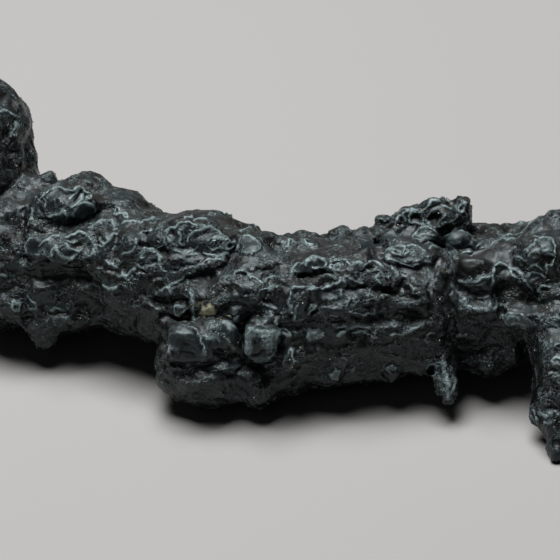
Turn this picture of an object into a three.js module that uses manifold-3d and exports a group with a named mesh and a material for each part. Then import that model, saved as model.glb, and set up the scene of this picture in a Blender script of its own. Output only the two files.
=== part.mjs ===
// A prophecy stone: a stick-shaped concretion of iron oxide, the kind that desert wind polishes and
// leaves loose on chalk. It grew as one piece, so it is one solid. A gnarled stem runs from end to
// end, knobs and small blocks of crystal stand on it, and creases part them from each other.
//
// Places are given on the stone's face, the side that is read first: u runs along the stem, v up
// the face and w out of it. The face leans back, so the finished solid is turned about X from those
// axes into the part's own, where Z is up and the stone lies on three small worn flats at Z = 0.
// All lengths are in millimetres.
import * as THREE from "three";
import { ImprovedNoise } from "three/addons/math/ImprovedNoise.js";
import { SimplifyModifier } from "three/addons/modifiers/SimplifyModifier.js";
import { mergeVertices } from "three/addons/utils/BufferGeometryUtils.js";
import Module from "manifold-3d";

const FACE_LEAN = THREE.MathUtils.degToRad(55); // turn about X that lays the leaning face in place
const REST_HEIGHT = -13.2; // the height, in the leaned frame, at which the underside is worn flat
const CELL = 0.9; // edge of the sampling cells, fine enough for a crease
const FACETS = 9700; // how many facets the skin is brought down to once it is sampled
const BLEND = 1.3; // how softly a knob runs into its neighbours
const FACE_STARTS = -4; // w behind which the creases of the face fade out
const NODULES = [
  // the crust's nodules, large and small: how far they stand above the creases between them, and
  // the usual distance from one to the next along u, v and w
  { rise: 1.3, gap: new THREE.Vector3(5.6, 4, 4), seed: 11 },
  { rise: 0.35, gap: new THREE.Vector3(2.9, 2.3, 2.3), seed: 53 },
];
const WRINKLE_RISE = 0.4; // height of the wrinkles that run along the stem
const WRINKLE_LENGTH = new THREE.Vector3(7.5, 2.4, 2.4); // from one wrinkle to the next: u, v, w
const WAVER = 0.8; // how far the edges of everything wander from their drawn lines
const WAVER_LENGTH = 3.4; // distance from one such bend to the next
const SURE = 7; // no knob or crease reaches further than this from the stems' own skin
const STEM_STEPS = 160; // points at which each stem's centre line is sampled

// The stem and its two heads, each as a centre line with a radius: [u, v, w, radius].
const STEMS = {
  trunk: [
    [-41.5, 1.5, -11.5, 5.6],
    [-36, 2.2, -10.5, 8.2],
    [-28.7, 2.9, -9.5, 9.8],
    [-22.5, 3.2, -7.5, 8.5],
    [-16.2, 0.7, -4.5, 8.2],
    [-10, -0.5, -2.5, 8.8],
    [-3.7, -3.2, -1, 9.4],
    [2.5, -4.0, -0.8, 9.7],
    [8.7, -3.9, -1, 9.3],
    [15, -3.2, -2, 9],
    [21.2, -2.6, -2.5, 8.7],
    [27.5, -2.4, -2.2, 8.5],
    [33.7, -1.3, -1.5, 8.5],
    [39, -0.4, -1.5, 7],
    [42.5, 0.4, -1.8, 4.6],
  ],
  left_head: [
    [-38.2, 5, -12, 6.6],
    [-38.6, 12, -12, 7.5],
    [-38.9, 18.9, -11.5, 7.3],
  ],
  right_foot: [
    [36, -5, 2, 6.2],
    [36.3, -11.5, 5.8, 6],
    [35.5, -15, 7.2, 3.8],
    [34.4, -18.4, 8.2, 1.9],
    [34.1, -21.4, 8.8, 1.1],
  ],
  spike: [
    [19.4, -8, 2.4, 2.8],
    [20.4, -11, 3.2, 1.7],
    [21, -13.4, 3.7, 1.2],
    [21.2, -15, 3.9, 0.7],
  ],
};

// Knobs and crystal blocks that stand on the stem: where the middle is, the half sizes along u, v
// and w, and the turn in the plane of the face in degrees. "boxy" ones have flattened sides.
const KNOBS = {
  // top edge, left to right
  peg: { at: [-29.1, 13, -8.5], size: [1.4, 1.5, 1.6] },
  shoulder: { at: [-25.4, 10.6, -8.2], size: [3.8, 2.9, 4] },
  shoulder_end: { at: [-21.6, 9, -7.6], size: [1.8, 1.9, 2.6] },
  back_swell: { at: [-10.2, 6.3, -3.4], size: [4.2, 2.4, 4] },
  bead_1: { at: [8.1, 5.4, -1.4], size: [1.4, 1.2, 1.6] },
  bead_2: { at: [10.6, 5.5, -1.6], size: [1.5, 1.1, 1.7] },
  crest_bead: { at: [13.1, 5.9, -1.6], size: [1.5, 1.6, 2.6] },
  crest_step: { at: [15.2, 6.7, -2], size: [1.8, 2, 3] },
  crest: { at: [18.6, 7.6, -1.8], size: [2.6, 2.5, 3.4], boxy: true, turn: 8 },
  crest_end: { at: [21.2, 7.1, -1.4], size: [1.7, 1.8, 2.6] },
  crest_knob: { at: [23.1, 8.2, -1], size: [1.2, 1.9, 1.5] },
  crest_root: { at: [21, 5.6, -4], size: [4.4, 2.4, 3.4] },
  low_saddle: { at: [27.4, 5.6, -2.6], size: [2.8, 1.6, 3] },
  right_rise: { at: [34.2, 6, -1.8], size: [3, 2.2, 3.4], turn: 25 },
  // face, left to right
  left_plate_top: { at: [-26.9, 9.4, -2.6], size: [3.8, 2.4, 2.6], turn: -6 },
  left_plate_low: { at: [-27.3, 3.9, -1.6], size: [4.6, 2.1, 2.6], turn: -4 },
  left_rim: { at: [-22.8, 5.8, -2], size: [2.1, 2, 1.9], turn: 30 },
  waist_plate: { at: [-16.8, 3.6, 1.4], size: [3.6, 2.2, 2], turn: -20 },
  bright_block: { at: [-10.4, 5, 2.9], size: [4.2, 2.6, 2.5], turn: -14 },
  bright_corner: { at: [-6.4, 4, 4.2], size: [1.5, 1.6, 1.6] },
  lip: { at: [-7.8, 2, 4.9], size: [3, 0.9, 1.7], turn: 12 },
  knuckle: { at: [-2.9, 3.4, 4.8], size: [1.6, 1.8, 1.6] },
  mid_block: { at: [1.4, -1.4, 7], size: [2.4, 2.9, 2.3] },
  long_plate: { at: [8.2, -0.6, 6], size: [6.2, 2.3, 2.9], turn: 9 },
  lower_plate: { at: [7.2, -3.2, 6.6], size: [6.6, 1.7, 2.4], turn: 7 },
  top_ledge: { at: [6.4, 2.5, 5], size: [4.4, 1.1, 2.1], turn: 8 },
  layered_block: { at: [16.4, 2.8, 3.2], size: [3.6, 2.7, 2.8] },
  layered_foot: { at: [16.8, -1.6, 5.2], size: [3.2, 2, 2.4] },
  drop: { at: [20.2, -0.9, 5.1], size: [1.1, 1.9, 1.4] },
  smooth_block: { at: [24.6, 0.2, 4], size: [2.7, 3, 3.2], boxy: true },
  smooth_shelf: { at: [24.6, -3, 4.8], size: [2.6, 1.4, 2.4], boxy: true },
  right_plate: { at: [32.6, 2.4, 4.2], size: [3.4, 3, 3], turn: 20 },
  right_ledge: { at: [31.4, -4.8, 5.4], size: [2.9, 1.2, 2.2], turn: -8 },
  // lower edge, left to right
  left_toe_1: { at: [-34.2, -2.6, -4.6], size: [2.8, 2.2, 2.6] },
  left_toe_2: { at: [-29.8, -4.6, -4.4], size: [2.6, 2.2, 2.6] },
  left_toe_point: { at: [-29.6, -7, -5], size: [1.1, 1.9, 1.2], turn: 8 },
  left_toe_3: { at: [-24.8, -4.3, -4.6], size: [3, 2.2, 2.6], turn: 14 },
  big_knob: { at: [-9.6, -10.2, 2.2], size: [5.8, 5.8, 5.6] },
  big_knob_block: { at: [-11.4, -7.8, 6], size: [2.9, 2.5, 2.8], boxy: true, turn: -6 },
  big_knob_side: { at: [-8.4, -8.8, 6.6], size: [1.9, 1.6, 2], turn: -20 },
  ball: { at: [-6.4, -6.6, 7.4], size: [1.6, 1.9, 1.9] },
  small_block: { at: [-2.1, -7.4, 8], size: [1.9, 2.2, 2.3], boxy: true },
  under_swell: { at: [-2.6, -11.5, 1.8], size: [5.2, 4.2, 4.8] },
  wedge: { at: [1, -9.6, 6.4], size: [0.8, 1.8, 1.4], turn: -8 },
  tooth_1: { at: [6.9, -11.6, 4.6], size: [0.9, 1.3, 1.3], turn: -30 },
  tooth_2: { at: [13.9, -10.9, 3.8], size: [1.3, 1.5, 1.5] },
  right_hem: { at: [26.6, -8.6, 0.6], size: [4.2, 3, 3.4], turn: 16 },
  foot_bead: { at: [32.6, -16.4, 7], size: [1.7, 1.9, 1.9] },
  // back and ends
  left_heel: { at: [-31, -1.5, -15], size: [4.5, 3.4, 4.2] },
  left_end_knob: { at: [-42, 4.4, -14.5], size: [3.4, 3.2, 3.6] },
  back_ridge_1: { at: [-15, 3.6, -10.6], size: [4.6, 2.8, 3] },
  back_ridge_2: { at: [1, -1.8, -9.4], size: [6.4, 3, 2.4], turn: -8 },
  back_heel: { at: [16, -8.2, -8.2], size: [5, 3.4, 3.6] },
  back_ridge_3: { at: [24, 1.8, -9.6], size: [3.6, 3.2, 2.6] },
  right_end_knob: { at: [41, -4.6, 0.6], size: [3.2, 3.8, 3.6] },
  right_end_cap: { at: [40.6, 4.2, -3.6], size: [3, 3, 3.4] },
};

// Creases and hollows, cut straight into the face: half the width, the depth, and the [u, v] points
// that the bottom of the crease passes through.
const CREASES = {
  head_crease: { half: 1.5, depth: 2.4, run: [[-36, 9.6], [-33.4, 11.6], [-31, 14.4]] },
  left_groove: { half: 1.1, depth: 1.5, run: [[-32.4, 10.6], [-32.9, 6.5], [-32.2, 2.2]] },
  left_hollow: { half: 1.25, depth: 2.2, run: [[-29.4, 6.3], [-26.6, 6.4], [-24.4, 7.3], [-22.6, 8.4]] },
  left_underline: { half: 1.1, depth: 1.3, run: [[-34, 1.4], [-30, 0.4], [-26, 0.4], [-22, -1]] },
  toe_gap_1: { half: 0.9, depth: 1.2, run: [[-32, -1.6], [-31.6, -5]] },
  toe_gap_2: { half: 0.9, depth: 1.2, run: [[-27.2, -1.6], [-27, -6]] },
  left_block_end: { half: 1.2, depth: 1.2, run: [[-21, 8.4], [-20.4, 5], [-20.6, 1.6]] },
  waist_streak: { half: 0.9, depth: 0.9, run: [[-19.6, 7.2], [-17.2, 5.6], [-15.4, 2.4], [-14.6, -1]] },
  face_crack: { half: 0.9, depth: 1.1, run: [[-13.9, 1.3], [-10.6, 2.2], [-6.8, 2.5]] },
  under_lip: { half: 1.3, depth: 2, run: [[-10, 0.6], [-8, 1], [-6.6, 1.6]] },
  knob_hollow: { half: 1, depth: 1.8, run: [[-15.4, -2.4], [-12.8, -2.6]] },
  knob_throat: { half: 1.1, depth: 2, run: [[-14.4, -4.6], [-10, -4.5], [-5.8, -4.4], [-2.4, -4]] },
  block_seam: { half: 0.9, depth: 1.6, run: [[-4.6, -4.8], [-4.5, -8], [-5, -10.4]] },
  block_hem: { half: 1, depth: 1.2, run: [[-13.8, -10.6], [-9.6, -11], [-6, -11]] },
  small_block_hem: { half: 0.9, depth: 1.3, run: [[-4.8, -9.9], [-1.6, -10.2], [0.1, -8], [0, -5.6]] },
  plate_end: { half: 0.9, depth: 1.2, run: [[-0.8, 1.6], [-1.4, -1.6], [-1, -4.6]] },
  plate_parting: { half: 0.75, depth: 0.9, run: [[3.6, -2.4], [7.6, -2.2], [11.8, -0.9]] },
  plate_undercut: { half: 1.1, depth: 1.6, run: [[0, -5.4], [5.6, -6], [10, -5.4], [15, -4.6], [19.4, -4.2]] },
  ledge_gap: { half: 0.8, depth: 1.1, run: [[2.4, 1.1], [5.2, 1], [7.6, 1.5]] },
  layers_hollow: { half: 1.1, depth: 1.5, run: [[11.6, -1], [13.4, -1.2], [15, -0.9]] },
  layers_end: { half: 0.9, depth: 1.2, run: [[12.2, 4.8], [12, 2.4]] },
  neck: { half: 1.1, depth: 1.9, run: [[20.6, 5.6], [21, 2], [20.9, -2.6], [21.2, -7]] },
  crest_gap: { half: 1, depth: 1.2, run: [[19.6, 4.8], [23.4, 5.4]] },
  smooth_block_top: { half: 0.9, depth: 1, run: [[22.2, 3.8], [23.6, 3.2], [25.8, 3.4]] },
  smooth_block_side: { half: 0.9, depth: 1.4, run: [[27.3, -0.4], [27.4, -4.4]] },
  right_hollow: { half: 1.6, depth: 2.4, run: [[27.8, -1.2], [29.4, -1.4], [31.2, -2.6]] },
  foot_cleft: { half: 1.2, depth: 2.2, run: [[29.8, -6.4], [30.8, -10], [31, -14]] },
};

const unevenness = new ImprovedNoise();

// A knob ready for measuring: its middle, and the turn that takes a point into its own axes.
function placedKnob({ at, size, turn = 0, boxy = false }) {
  return {
    middle: new THREE.Vector3(...at),
    size: new THREE.Vector3(...size),
    cos: Math.cos(THREE.MathUtils.degToRad(turn)),
    sin: Math.sin(THREE.MathUtils.degToRad(turn)),
    power: boxy ? 4 : 2,
  };
}

// How far a point lies outside an ellipsoid, or outside a rounded block where power is over 2.
function distanceToKnob(point, knob) {
  const du = point.x - knob.middle.x;
  const dv = point.y - knob.middle.y;
  const a = Math.abs(du * knob.cos + dv * knob.sin) / knob.size.x;
  const b = Math.abs(dv * knob.cos - du * knob.sin) / knob.size.y;
  const c = Math.abs(point.z - knob.middle.z) / knob.size.z;
  const reach = (a ** knob.power + b ** knob.power + c ** knob.power) ** (1 / knob.power);
  const steepness = Math.hypot(a / knob.size.x, b / knob.size.y, c / knob.size.z);
  if (steepness < 1e-6) return -Math.min(knob.size.x, knob.size.y, knob.size.z);
  return (reach * (reach - 1)) / Math.max(steepness, 1e-6);
}

// A run of [u, v, w, radius] points as a smooth chain of balls.
function chainOfBalls(run, steps) {
  const line = new THREE.CatmullRomCurve3(run.map(([u, v, w]) => new THREE.Vector3(u, v, w)));
  const girth = new THREE.CatmullRomCurve3(run.map((p) => new THREE.Vector3(p[3], 0, 0)));
  return Array.from({ length: steps + 1 }, (_, i) => ({
    middle: line.getPoint(i / steps),
    radius: girth.getPoint(i / steps).x,
  }));
}

function distanceToChain(point, balls) {
  let least = Infinity;
  for (const ball of balls) least = Math.min(least, point.distanceTo(ball.middle) - ball.radius);
  return least;
}

// The lesser of two distances, rounded over where they are alike.
function blended(a, b, softness) {
  const share = Math.max(softness - Math.abs(a - b), 0) / softness;
  return Math.min(a, b) - (share * share * softness) / 4;
}

const stems = Object.values(STEMS).map((run) => chainOfBalls(run, STEM_STEPS));
const knobs = Object.values(KNOBS).map(placedKnob);
const creases = Object.values(CREASES).map(({ half, depth, run }) => {
  const line = new THREE.SplineCurve(run.map((place) => new THREE.Vector2(...place)));
  return { half, depth, points: line.getPoints(10 * run.length) };
});

// How deep the creases of the face cut at a point.
function creaseDepth(point) {
  const place = new THREE.Vector2(point.x, point.y);
  const uneven = 0.8 + 0.9 * unevenness.noise(point.x / 2.6, point.y / 2.6, 5.5);
  let deepest = 0;
  for (const { half, depth, points } of creases) {
    const away = Math.min(...points.map((bottom) => place.distanceTo(bottom))) / half;
    if (away < 1) deepest = Math.max(deepest, depth * uneven * (1 - away) ** 1.2);
  }
  return deepest * THREE.MathUtils.smoothstep(point.z, FACE_STARTS - 2, FACE_STARTS);
}

// The crust's nodules: 1 at the middle of the nearest one, falling to 0 in the crease around it.
// Each cell of a lattice holds one nodule, at a place in the cell that the noise decides.
function noduleHeight(point, gap, seed) {
  const at = point.clone().divide(gap);
  const cell = at.clone().floor();
  let least = 1;
  for (let n = 0; n < 27; n++) {
    const i = cell.x + (n % 3) - 1;
    const j = cell.y + (Math.floor(n / 3) % 3) - 1;
    const k = cell.z + Math.floor(n / 9) - 1;
    const shift = [0.3, 26.1, 60.7].map((s) => unevenness.noise(i * 0.73 + s, j * 0.79 + seed + s, k * 0.83));
    const nodule = new THREE.Vector3(i + 0.5 + shift[0], j + 0.5 + shift[1], k + 0.5 + shift[2]);
    least = Math.min(least, at.distanceToSquared(nodule));
  }
  return 1 - least;
}

// How far a point of the face's frame lies outside the stone.
function distanceToStone(place) {
  const rough = Math.min(...stems.map((stem) => distanceToChain(place, stem)));
  if (Math.abs(rough) > SURE) return rough;
  const bend = place.clone().divideScalar(WAVER_LENGTH);
  const point = new THREE.Vector3(
    place.x + WAVER * unevenness.noise(bend.x, bend.y, bend.z),
    place.y + WAVER * unevenness.noise(bend.x + 31.4, bend.y, bend.z),
    place.z + WAVER * unevenness.noise(bend.x, bend.y + 47.2, bend.z),
  );
  let outside = Infinity;
  for (const stem of stems) outside = blended(outside, distanceToChain(point, stem), 2 * BLEND);
  for (const knob of knobs) outside = blended(outside, distanceToKnob(point, knob), BLEND);
  if (Math.abs(outside) > 5 * CELL) return outside;
  const folds = point.clone().divide(WRINKLE_LENGTH);
  outside += WRINKLE_RISE * (3 * Math.abs(unevenness.noise(folds.x, folds.y, folds.z)) - 0.6);
  for (const { rise, gap, seed } of NODULES) outside += rise * (0.75 - noduleHeight(point, gap, seed));
  return outside + creaseDepth(point);
}

// Marks every sample that can be walked to from a first one without crossing the skin.
function walkedFrom(first, samples, strides) {
  const inside = samples[first] < 0;
  const walked = new Uint8Array(samples.length);
  const queue = [first];
  walked[first] = 1;
  while (queue.length > 0) {
    const here = queue.pop();
    for (const stride of strides)
      for (const next of [here - stride, here + stride])
        if (next >= 0 && next < samples.length && !walked[next] && samples[next] < 0 === inside) {
          walked[next] = 1;
          queue.push(next);
        }
  }
  return walked;
}

// Fills hollows that nothing reaches from outside, and drops crumbs that touch nothing.
function keepOneBody(samples, strides) {
  const outside = walkedFrom(0, samples, strides);
  for (let n = 0; n < samples.length; n++) if (samples[n] >= 0 && !outside[n]) samples[n] = -0.1;
  const deepest = samples.indexOf(samples.reduce((a, b) => Math.min(a, b)));
  const body = walkedFrom(deepest, samples, strides);
  for (let n = 0; n < samples.length; n++) if (samples[n] < 0 && !body[n]) samples[n] = 0.1;
}

// Where two parts of the stone would meet only along a cell's edge or at its corner, the outside
// sample nearest the skin is taken in, so that the skin never pinches.
function closePinches(samples, counts, index) {
  const squares = [
    [[0, 0, 0], [1, 0, 0], [1, 1, 0], [0, 1, 0]],
    [[0, 0, 0], [0, 1, 0], [0, 1, 1], [0, 0, 1]],
    [[0, 0, 0], [0, 0, 1], [1, 0, 1], [1, 0, 0]],
  ];
  let closed;
  do {
    closed = 0;
    for (let k = 0; k < counts.z; k++)
      for (let j = 0; j < counts.y; j++)
        for (let i = 0; i < counts.x; i++)
          for (const square of squares) {
            const [a, b, c, d] = square.map((o) => index(i + o[0], j + o[1], k + o[2]));
            const crossed = samples[a] < 0 === samples[c] < 0 && samples[b] < 0 === samples[d] < 0;
            if (!crossed || samples[a] < 0 === samples[b] < 0) continue;
            const [near, far] = samples[a] < 0 ? [b, d] : [a, c];
            samples[samples[near] < samples[far] ? near : far] = -0.1;
            closed++;
          }
  } while (closed > 0);
}

// Moves a point of a sampling cell onto the skin, as near as it can come within the cell.
function drawToSkin(point, cellLow) {
  const step = 0.05;
  const inset = 0.08 * CELL;
  const low = cellLow.clone().addScalar(inset);
  const high = cellLow.clone().addScalar(CELL - inset);
  for (let n = 0; n < 3; n++) {
    const outside = distanceToStone(point);
    const slope = new THREE.Vector3(
      distanceToStone(point.clone().add(new THREE.Vector3(step, 0, 0))) - outside,
      distanceToStone(point.clone().add(new THREE.Vector3(0, step, 0))) - outside,
      distanceToStone(point.clone().add(new THREE.Vector3(0, 0, step))) - outside,
    ).divideScalar(step);
    point.addScaledVector(slope, -outside / Math.max(slope.lengthSq(), 0.2)).clamp(low, high);
  }
}

// The stone's skin, as quads between the sampling cells that it passes through.
function skin() {
  const low = new THREE.Vector3(-50, -26, -26);
  const high = new THREE.Vector3(50, 30, 18);
  const counts = high.clone().sub(low).divideScalar(CELL).ceil();
  const strideY = counts.x + 1;
  const strideZ = strideY * (counts.y + 1);
  const index = (i, j, k) => i + j * strideY + k * strideZ;
  const corner = (i, j, k) => new THREE.Vector3(i, j, k).multiplyScalar(CELL).add(low);
  const samples = new Float32Array(strideZ * (counts.z + 1));
  for (let k = 0; k <= counts.z; k++)
    for (let j = 0; j <= counts.y; j++)
      for (let i = 0; i <= counts.x; i++) samples[index(i, j, k)] = distanceToStone(corner(i, j, k));
  closePinches(samples, counts, index);
  keepOneBody(samples, [1, strideY, strideZ]);

  const positions = [];
  const vertexOfCell = new Map();
  const offsets = [0, 1].flatMap((c) => [0, 1].flatMap((b) => [0, 1].map((a) => [a, b, c])));
  const edges = offsets.flatMap((from, n) =>
    offsets.slice(n + 1).filter((to) => Math.hypot(...to.map((t, m) => t - from[m])) === 1)
      .map((to) => [from, to]),
  );

  // A cell's vertex is the mean of the places where the skin crosses the cell's edges.
  function cellVertex(i, j, k) {
    const key = index(i, j, k);
    if (vertexOfCell.has(key)) return vertexOfCell.get(key);
    const middle = new THREE.Vector3();
    let crossings = 0;
    for (const [from, to] of edges) {
      const a = samples[index(i + from[0], j + from[1], k + from[2])];
      const b = samples[index(i + to[0], j + to[1], k + to[2])];
      if (a < 0 === b < 0) continue;
      const start = corner(i + from[0], j + from[1], k + from[2]);
      middle.add(start.lerp(corner(i + to[0], j + to[1], k + to[2]), a / (a - b)));
      crossings++;
    }
    middle.divideScalar(crossings);
    drawToSkin(middle, corner(i, j, k));
    vertexOfCell.set(key, positions.length / 3);
    positions.push(middle.x, middle.y, middle.z);
    return vertexOfCell.get(key);
  }

  const triangles = [];
  const axes = [
    [[1, 0, 0], [0, 1, 0], [0, 0, 1]],
    [[0, 1, 0], [0, 0, 1], [1, 0, 0]],
    [[0, 0, 1], [1, 0, 0], [0, 1, 0]],
  ];
  for (let k = 1; k < counts.z; k++)
    for (let j = 1; j < counts.y; j++)
      for (let i = 1; i < counts.x; i++)
        for (const [along, side, up] of axes) {
          const here = samples[index(i, j, k)] < 0;
          const there = samples[index(i + along[0], j + along[1], k + along[2])] < 0;
          if (here === there) continue;
          const [a, b, c, d] = [[0, 0], [1, 0], [1, 1], [0, 1]].map(([s, t]) =>
            cellVertex(i - s * side[0] - t * up[0], j - s * side[1] - t * up[1], k - s * side[2] - t * up[2]),
          );
          triangles.push(...(here ? [a, b, c, a, c, d] : [a, c, b, a, d, c]));
        }
  const made = new THREE.BufferGeometry();
  made.setAttribute("position", new THREE.Float32BufferAttribute(positions, 3));
  made.setIndex(triangles);
  return made;
}

// A geometry's vertices and triangles as a solid for joining and cutting.
function solidFrom(wasm, geometry) {
  const bare = new THREE.BufferGeometry();
  bare.setAttribute("position", geometry.getAttribute("position"));
  bare.setIndex(geometry.getIndex());
  const merged = mergeVertices(bare);
  return new wasm.Manifold(
    new wasm.Mesh({
      numProp: 3,
      vertProperties: merged.getAttribute("position").array,
      triVerts: new Uint32Array(merged.getIndex().array),
    }),
  );
}

// The whole stone in the part's own frame: leaned, worn flat where it rests, and centred.
async function stoneGeometry() {
  const wasm = await Module();
  wasm.setup();
  const fine = skin();
  const spare = fine.getAttribute("position").count - FACETS / 2;
  const faceted = await new SimplifyModifier().modify(fine, spare);
  const leaned = faceted.applyMatrix4(new THREE.Matrix4().makeRotationX(FACE_LEAN));
  const ground = new THREE.BoxGeometry(200, 200, 40).translate(0, 0, REST_HEIGHT - 20);
  const worn = solidFrom(wasm, leaned).subtract(solidFrom(wasm, ground)).getMesh();
  const made = new THREE.BufferGeometry();
  made.setAttribute("position", new THREE.BufferAttribute(new Float32Array(worn.vertProperties), 3));
  made.setIndex(new THREE.BufferAttribute(new Uint32Array(worn.triVerts), 1));
  made.computeBoundingBox();
  const middle = made.boundingBox.getCenter(new THREE.Vector3());
  made.translate(-middle.x, -middle.y, -made.boundingBox.min.z);
  made.computeVertexNormals();
  return made;
}

const ironOxide = new THREE.MeshStandardMaterial({
  name: "iron_oxide",
  color: new THREE.Color(0.07, 0.068, 0.066),
  roughness: 0.42,
  metalness: 0.35,
});

const stone = new THREE.Mesh(await stoneGeometry(), ironOxide);
stone.name = "stone";

const part = new THREE.Group();
part.name = "prophecy_stone";
part.add(stone);

export default part;
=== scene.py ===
import math

import bmesh
import bpy
import numpy as np
from mathutils import Matrix, Vector


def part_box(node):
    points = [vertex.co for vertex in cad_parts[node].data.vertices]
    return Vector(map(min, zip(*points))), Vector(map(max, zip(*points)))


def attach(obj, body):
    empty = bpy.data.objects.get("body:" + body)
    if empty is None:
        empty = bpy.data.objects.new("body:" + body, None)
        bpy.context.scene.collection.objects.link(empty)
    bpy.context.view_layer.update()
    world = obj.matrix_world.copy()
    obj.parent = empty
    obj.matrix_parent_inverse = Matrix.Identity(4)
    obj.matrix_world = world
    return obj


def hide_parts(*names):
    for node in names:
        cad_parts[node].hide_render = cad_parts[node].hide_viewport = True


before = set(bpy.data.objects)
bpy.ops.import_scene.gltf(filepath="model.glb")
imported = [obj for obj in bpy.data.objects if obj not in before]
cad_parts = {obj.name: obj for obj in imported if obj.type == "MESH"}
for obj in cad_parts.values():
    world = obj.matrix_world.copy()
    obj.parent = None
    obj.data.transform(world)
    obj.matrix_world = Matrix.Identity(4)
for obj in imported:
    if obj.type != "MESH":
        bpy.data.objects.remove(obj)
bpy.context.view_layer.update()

# Camera
# A long lens looks down on the stone's face. It takes in the 70 mm of the stem that carry the most
# growth, so both ends run out of view.
LOOK_DOWN = math.radians(35)
SHOWN_WIDTH = 0.070
CAMERA_DISTANCE = 0.60
SENSOR_WIDTH = 36  # millimetres
FACE_MIDDLE_FROM_LOW_CORNER = Vector((0.04757, 0.02077, 0.01320))

scene = bpy.context.scene
stone_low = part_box("stone")[0]
face_middle = stone_low + FACE_MIDDLE_FROM_LOW_CORNER
face_lean = Matrix.Rotation(math.pi / 2 - LOOK_DOWN, 4, "X")


def brought_in(name, data):
    """A new object in the scene with that name and that mesh, lens or lamp."""
    made = bpy.data.objects.new(name, data)
    scene.collection.objects.link(made)
    return made


lens = bpy.data.cameras.new("face_camera")
lens.sensor_width = SENSOR_WIDTH
lens.lens = SENSOR_WIDTH * CAMERA_DISTANCE / SHOWN_WIDTH
lens.clip_start = 0.01
camera = brought_in("face_camera", lens)
stand_back = Matrix.Translation((0, 0, CAMERA_DISTANCE))
camera.matrix_world = Matrix.Translation(face_middle) @ face_lean @ stand_back
scene.camera = camera


# Stone
# One concretion of iron oxide, grown as nodules and crystal blocks over a gnarled stem, then
# polished by blown sand until every block is a shallow dish inside a rim, whose brightness is a painted
# highlight.
# It is shaped in millimetres on its face: u along the stem, v up the face, w out of it.
MM = 0.001
WELD = 2e-7  # metres
VOXEL = 0.2
ROUNDING_PASSES = 16
TURNED_SIDEWAYS = -0.1  # w of the way that the skin faces, where it starts to turn off the face
TURNED_AWAY = -0.5  # and where it has turned off it
face_to_part = Matrix.Translation(face_middle) @ face_lean @ Matrix.Scale(MM, 4)
UP_ON_FACE = (0.0, math.cos(LOOK_DOWN), math.sin(LOOK_DOWN))  # the way up, in u, v and w


def settled(obj):
    """Applies the object's modifiers. It is left with a plain mesh, which is also given back."""
    plain = bpy.data.meshes.new_from_object(obj.evaluated_get(bpy.context.evaluated_depsgraph_get()))
    obj.modifiers.clear()
    obj.data = plain
    return plain


def read_from(vectors, name):
    """One vector for each of the mesh's points, as rows of an array."""
    flat = np.empty(len(vectors) * 3, np.float32)
    vectors.foreach_get(name, flat)
    return flat.reshape(-1, 3)


def coordinates(mesh):
    return read_from(mesh.vertices, "co")


def directions(mesh):
    """The way each point of the mesh faces."""
    return read_from(mesh.vertex_normals, "vector")


def place(mesh, points):
    mesh.vertices.foreach_set("co", points.astype(np.float32).ravel())
    mesh.update()


def record_on(mesh, name, values):
    """Keeps one number for each point on the mesh, under that name."""
    kept = mesh.attributes.new(name, "FLOAT", "POINT")
    kept.data.foreach_set("value", values.astype(np.float32))


def smoothstep(values, low, high):
    share = np.clip((values - low) / (high - low), 0, 1)
    return share * share * (3 - 2 * share)


# the rough stone: the CAD solid with its facets rounded off
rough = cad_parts["stone"].data.copy()
welded = bmesh.new()
welded.from_mesh(rough)
bmesh.ops.remove_doubles(welded, verts=welded.verts, dist=WELD)
welded.to_mesh(rough)
welded.free()
rough.transform(face_to_part.inverted())
stone = brought_in("stone_skin", rough)
rounding = stone.modifiers.new("rounding", "REMESH")
rounding.mode = "VOXEL"
rounding.voxel_size = VOXEL
softening = stone.modifiers.new("softening", "SMOOTH")
softening.factor = 0.5
softening.iterations = ROUNDING_PASSES
fineness = stone.modifiers.new("fineness", "SUBSURF")
fineness.levels = fineness.render_levels = 1
rounded = settled(stone)

# the growth on the face, laid down block by block on the points that look out of it
skin_places = coordinates(rounded)
skin_faces = directions(rounded)
on_face = np.flatnonzero(skin_faces[:, 2] > TURNED_AWAY)
u, v = skin_places[on_face, 0], skin_places[on_face, 1]
# the places wander a little, so that nothing laid down by them runs quite straight
u = u + 0.12 * np.sin(2.1 * v + 0.9 * u) + 0.07 * np.sin(5.3 * v - 3.1 * u)
v = v + 0.12 * np.sin(1.9 * u + 1.3 * v) + 0.07 * np.sin(4.7 * u + 3.7 * v)
looks_out = smoothstep(skin_faces[on_face, 2], TURNED_AWAY, TURNED_SIDEWAYS)
growth = np.zeros(len(on_face))  # how far the skin is raised, in millimetres
calm = np.zeros(len(on_face))  # where the skin stays smooth, up to 1
painted_highlight = np.zeros(len(on_face))  # where a paler, bluer colour is painted on as highlight, up to 1
earth = np.zeros(len(on_face))  # where pale earth is lodged, up to 1
level = skin_places[on_face, 2].astype(float)  # how far out of the face the skin lies
uneven = 1 + 0.3 * np.sin(4.3 * u + 1.1 * v) * np.sin(3.7 * v - 0.8 * u) + 0.15 * np.sin(2.9 * u - 1.7 * v)

# what the blown sand has left of the height, width or depth that each shape grew to
RIM_HEIGHT_LEFT = 0.62
RIM_WIDTH_LEFT = 0.78
CRACK_DEPTH_LEFT = 0.55
PLATE_HEIGHT_LEFT = 0.65
DISH_DEPTH_LEFT = 0.5
NODULE_HEIGHT_LEFT = 0.8
CONCAVE = 1.6  # the power that hollows the flanks of a rim
PLATE_RIM_INSET = 0.06
PLATE_RIM_HALF = 0.18


def bent(run, closed=False):
    """The run's points, given as u and v by turns, with corners cut twice so that they bend smoothly."""
    line = np.array(run, float).reshape(-1, 2)
    for _ in range(2):
        ahead = np.roll(line, -1, axis=0) if closed else line[1:]
        behind = line if closed else line[:-1]
        cut = np.empty((2 * len(behind), 2))
        cut[0::2] = 0.75 * behind + 0.25 * ahead
        cut[1::2] = 0.25 * behind + 0.75 * ahead
        line = cut if closed else np.vstack([line[:1], cut, line[-1:]])
    return line


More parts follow.
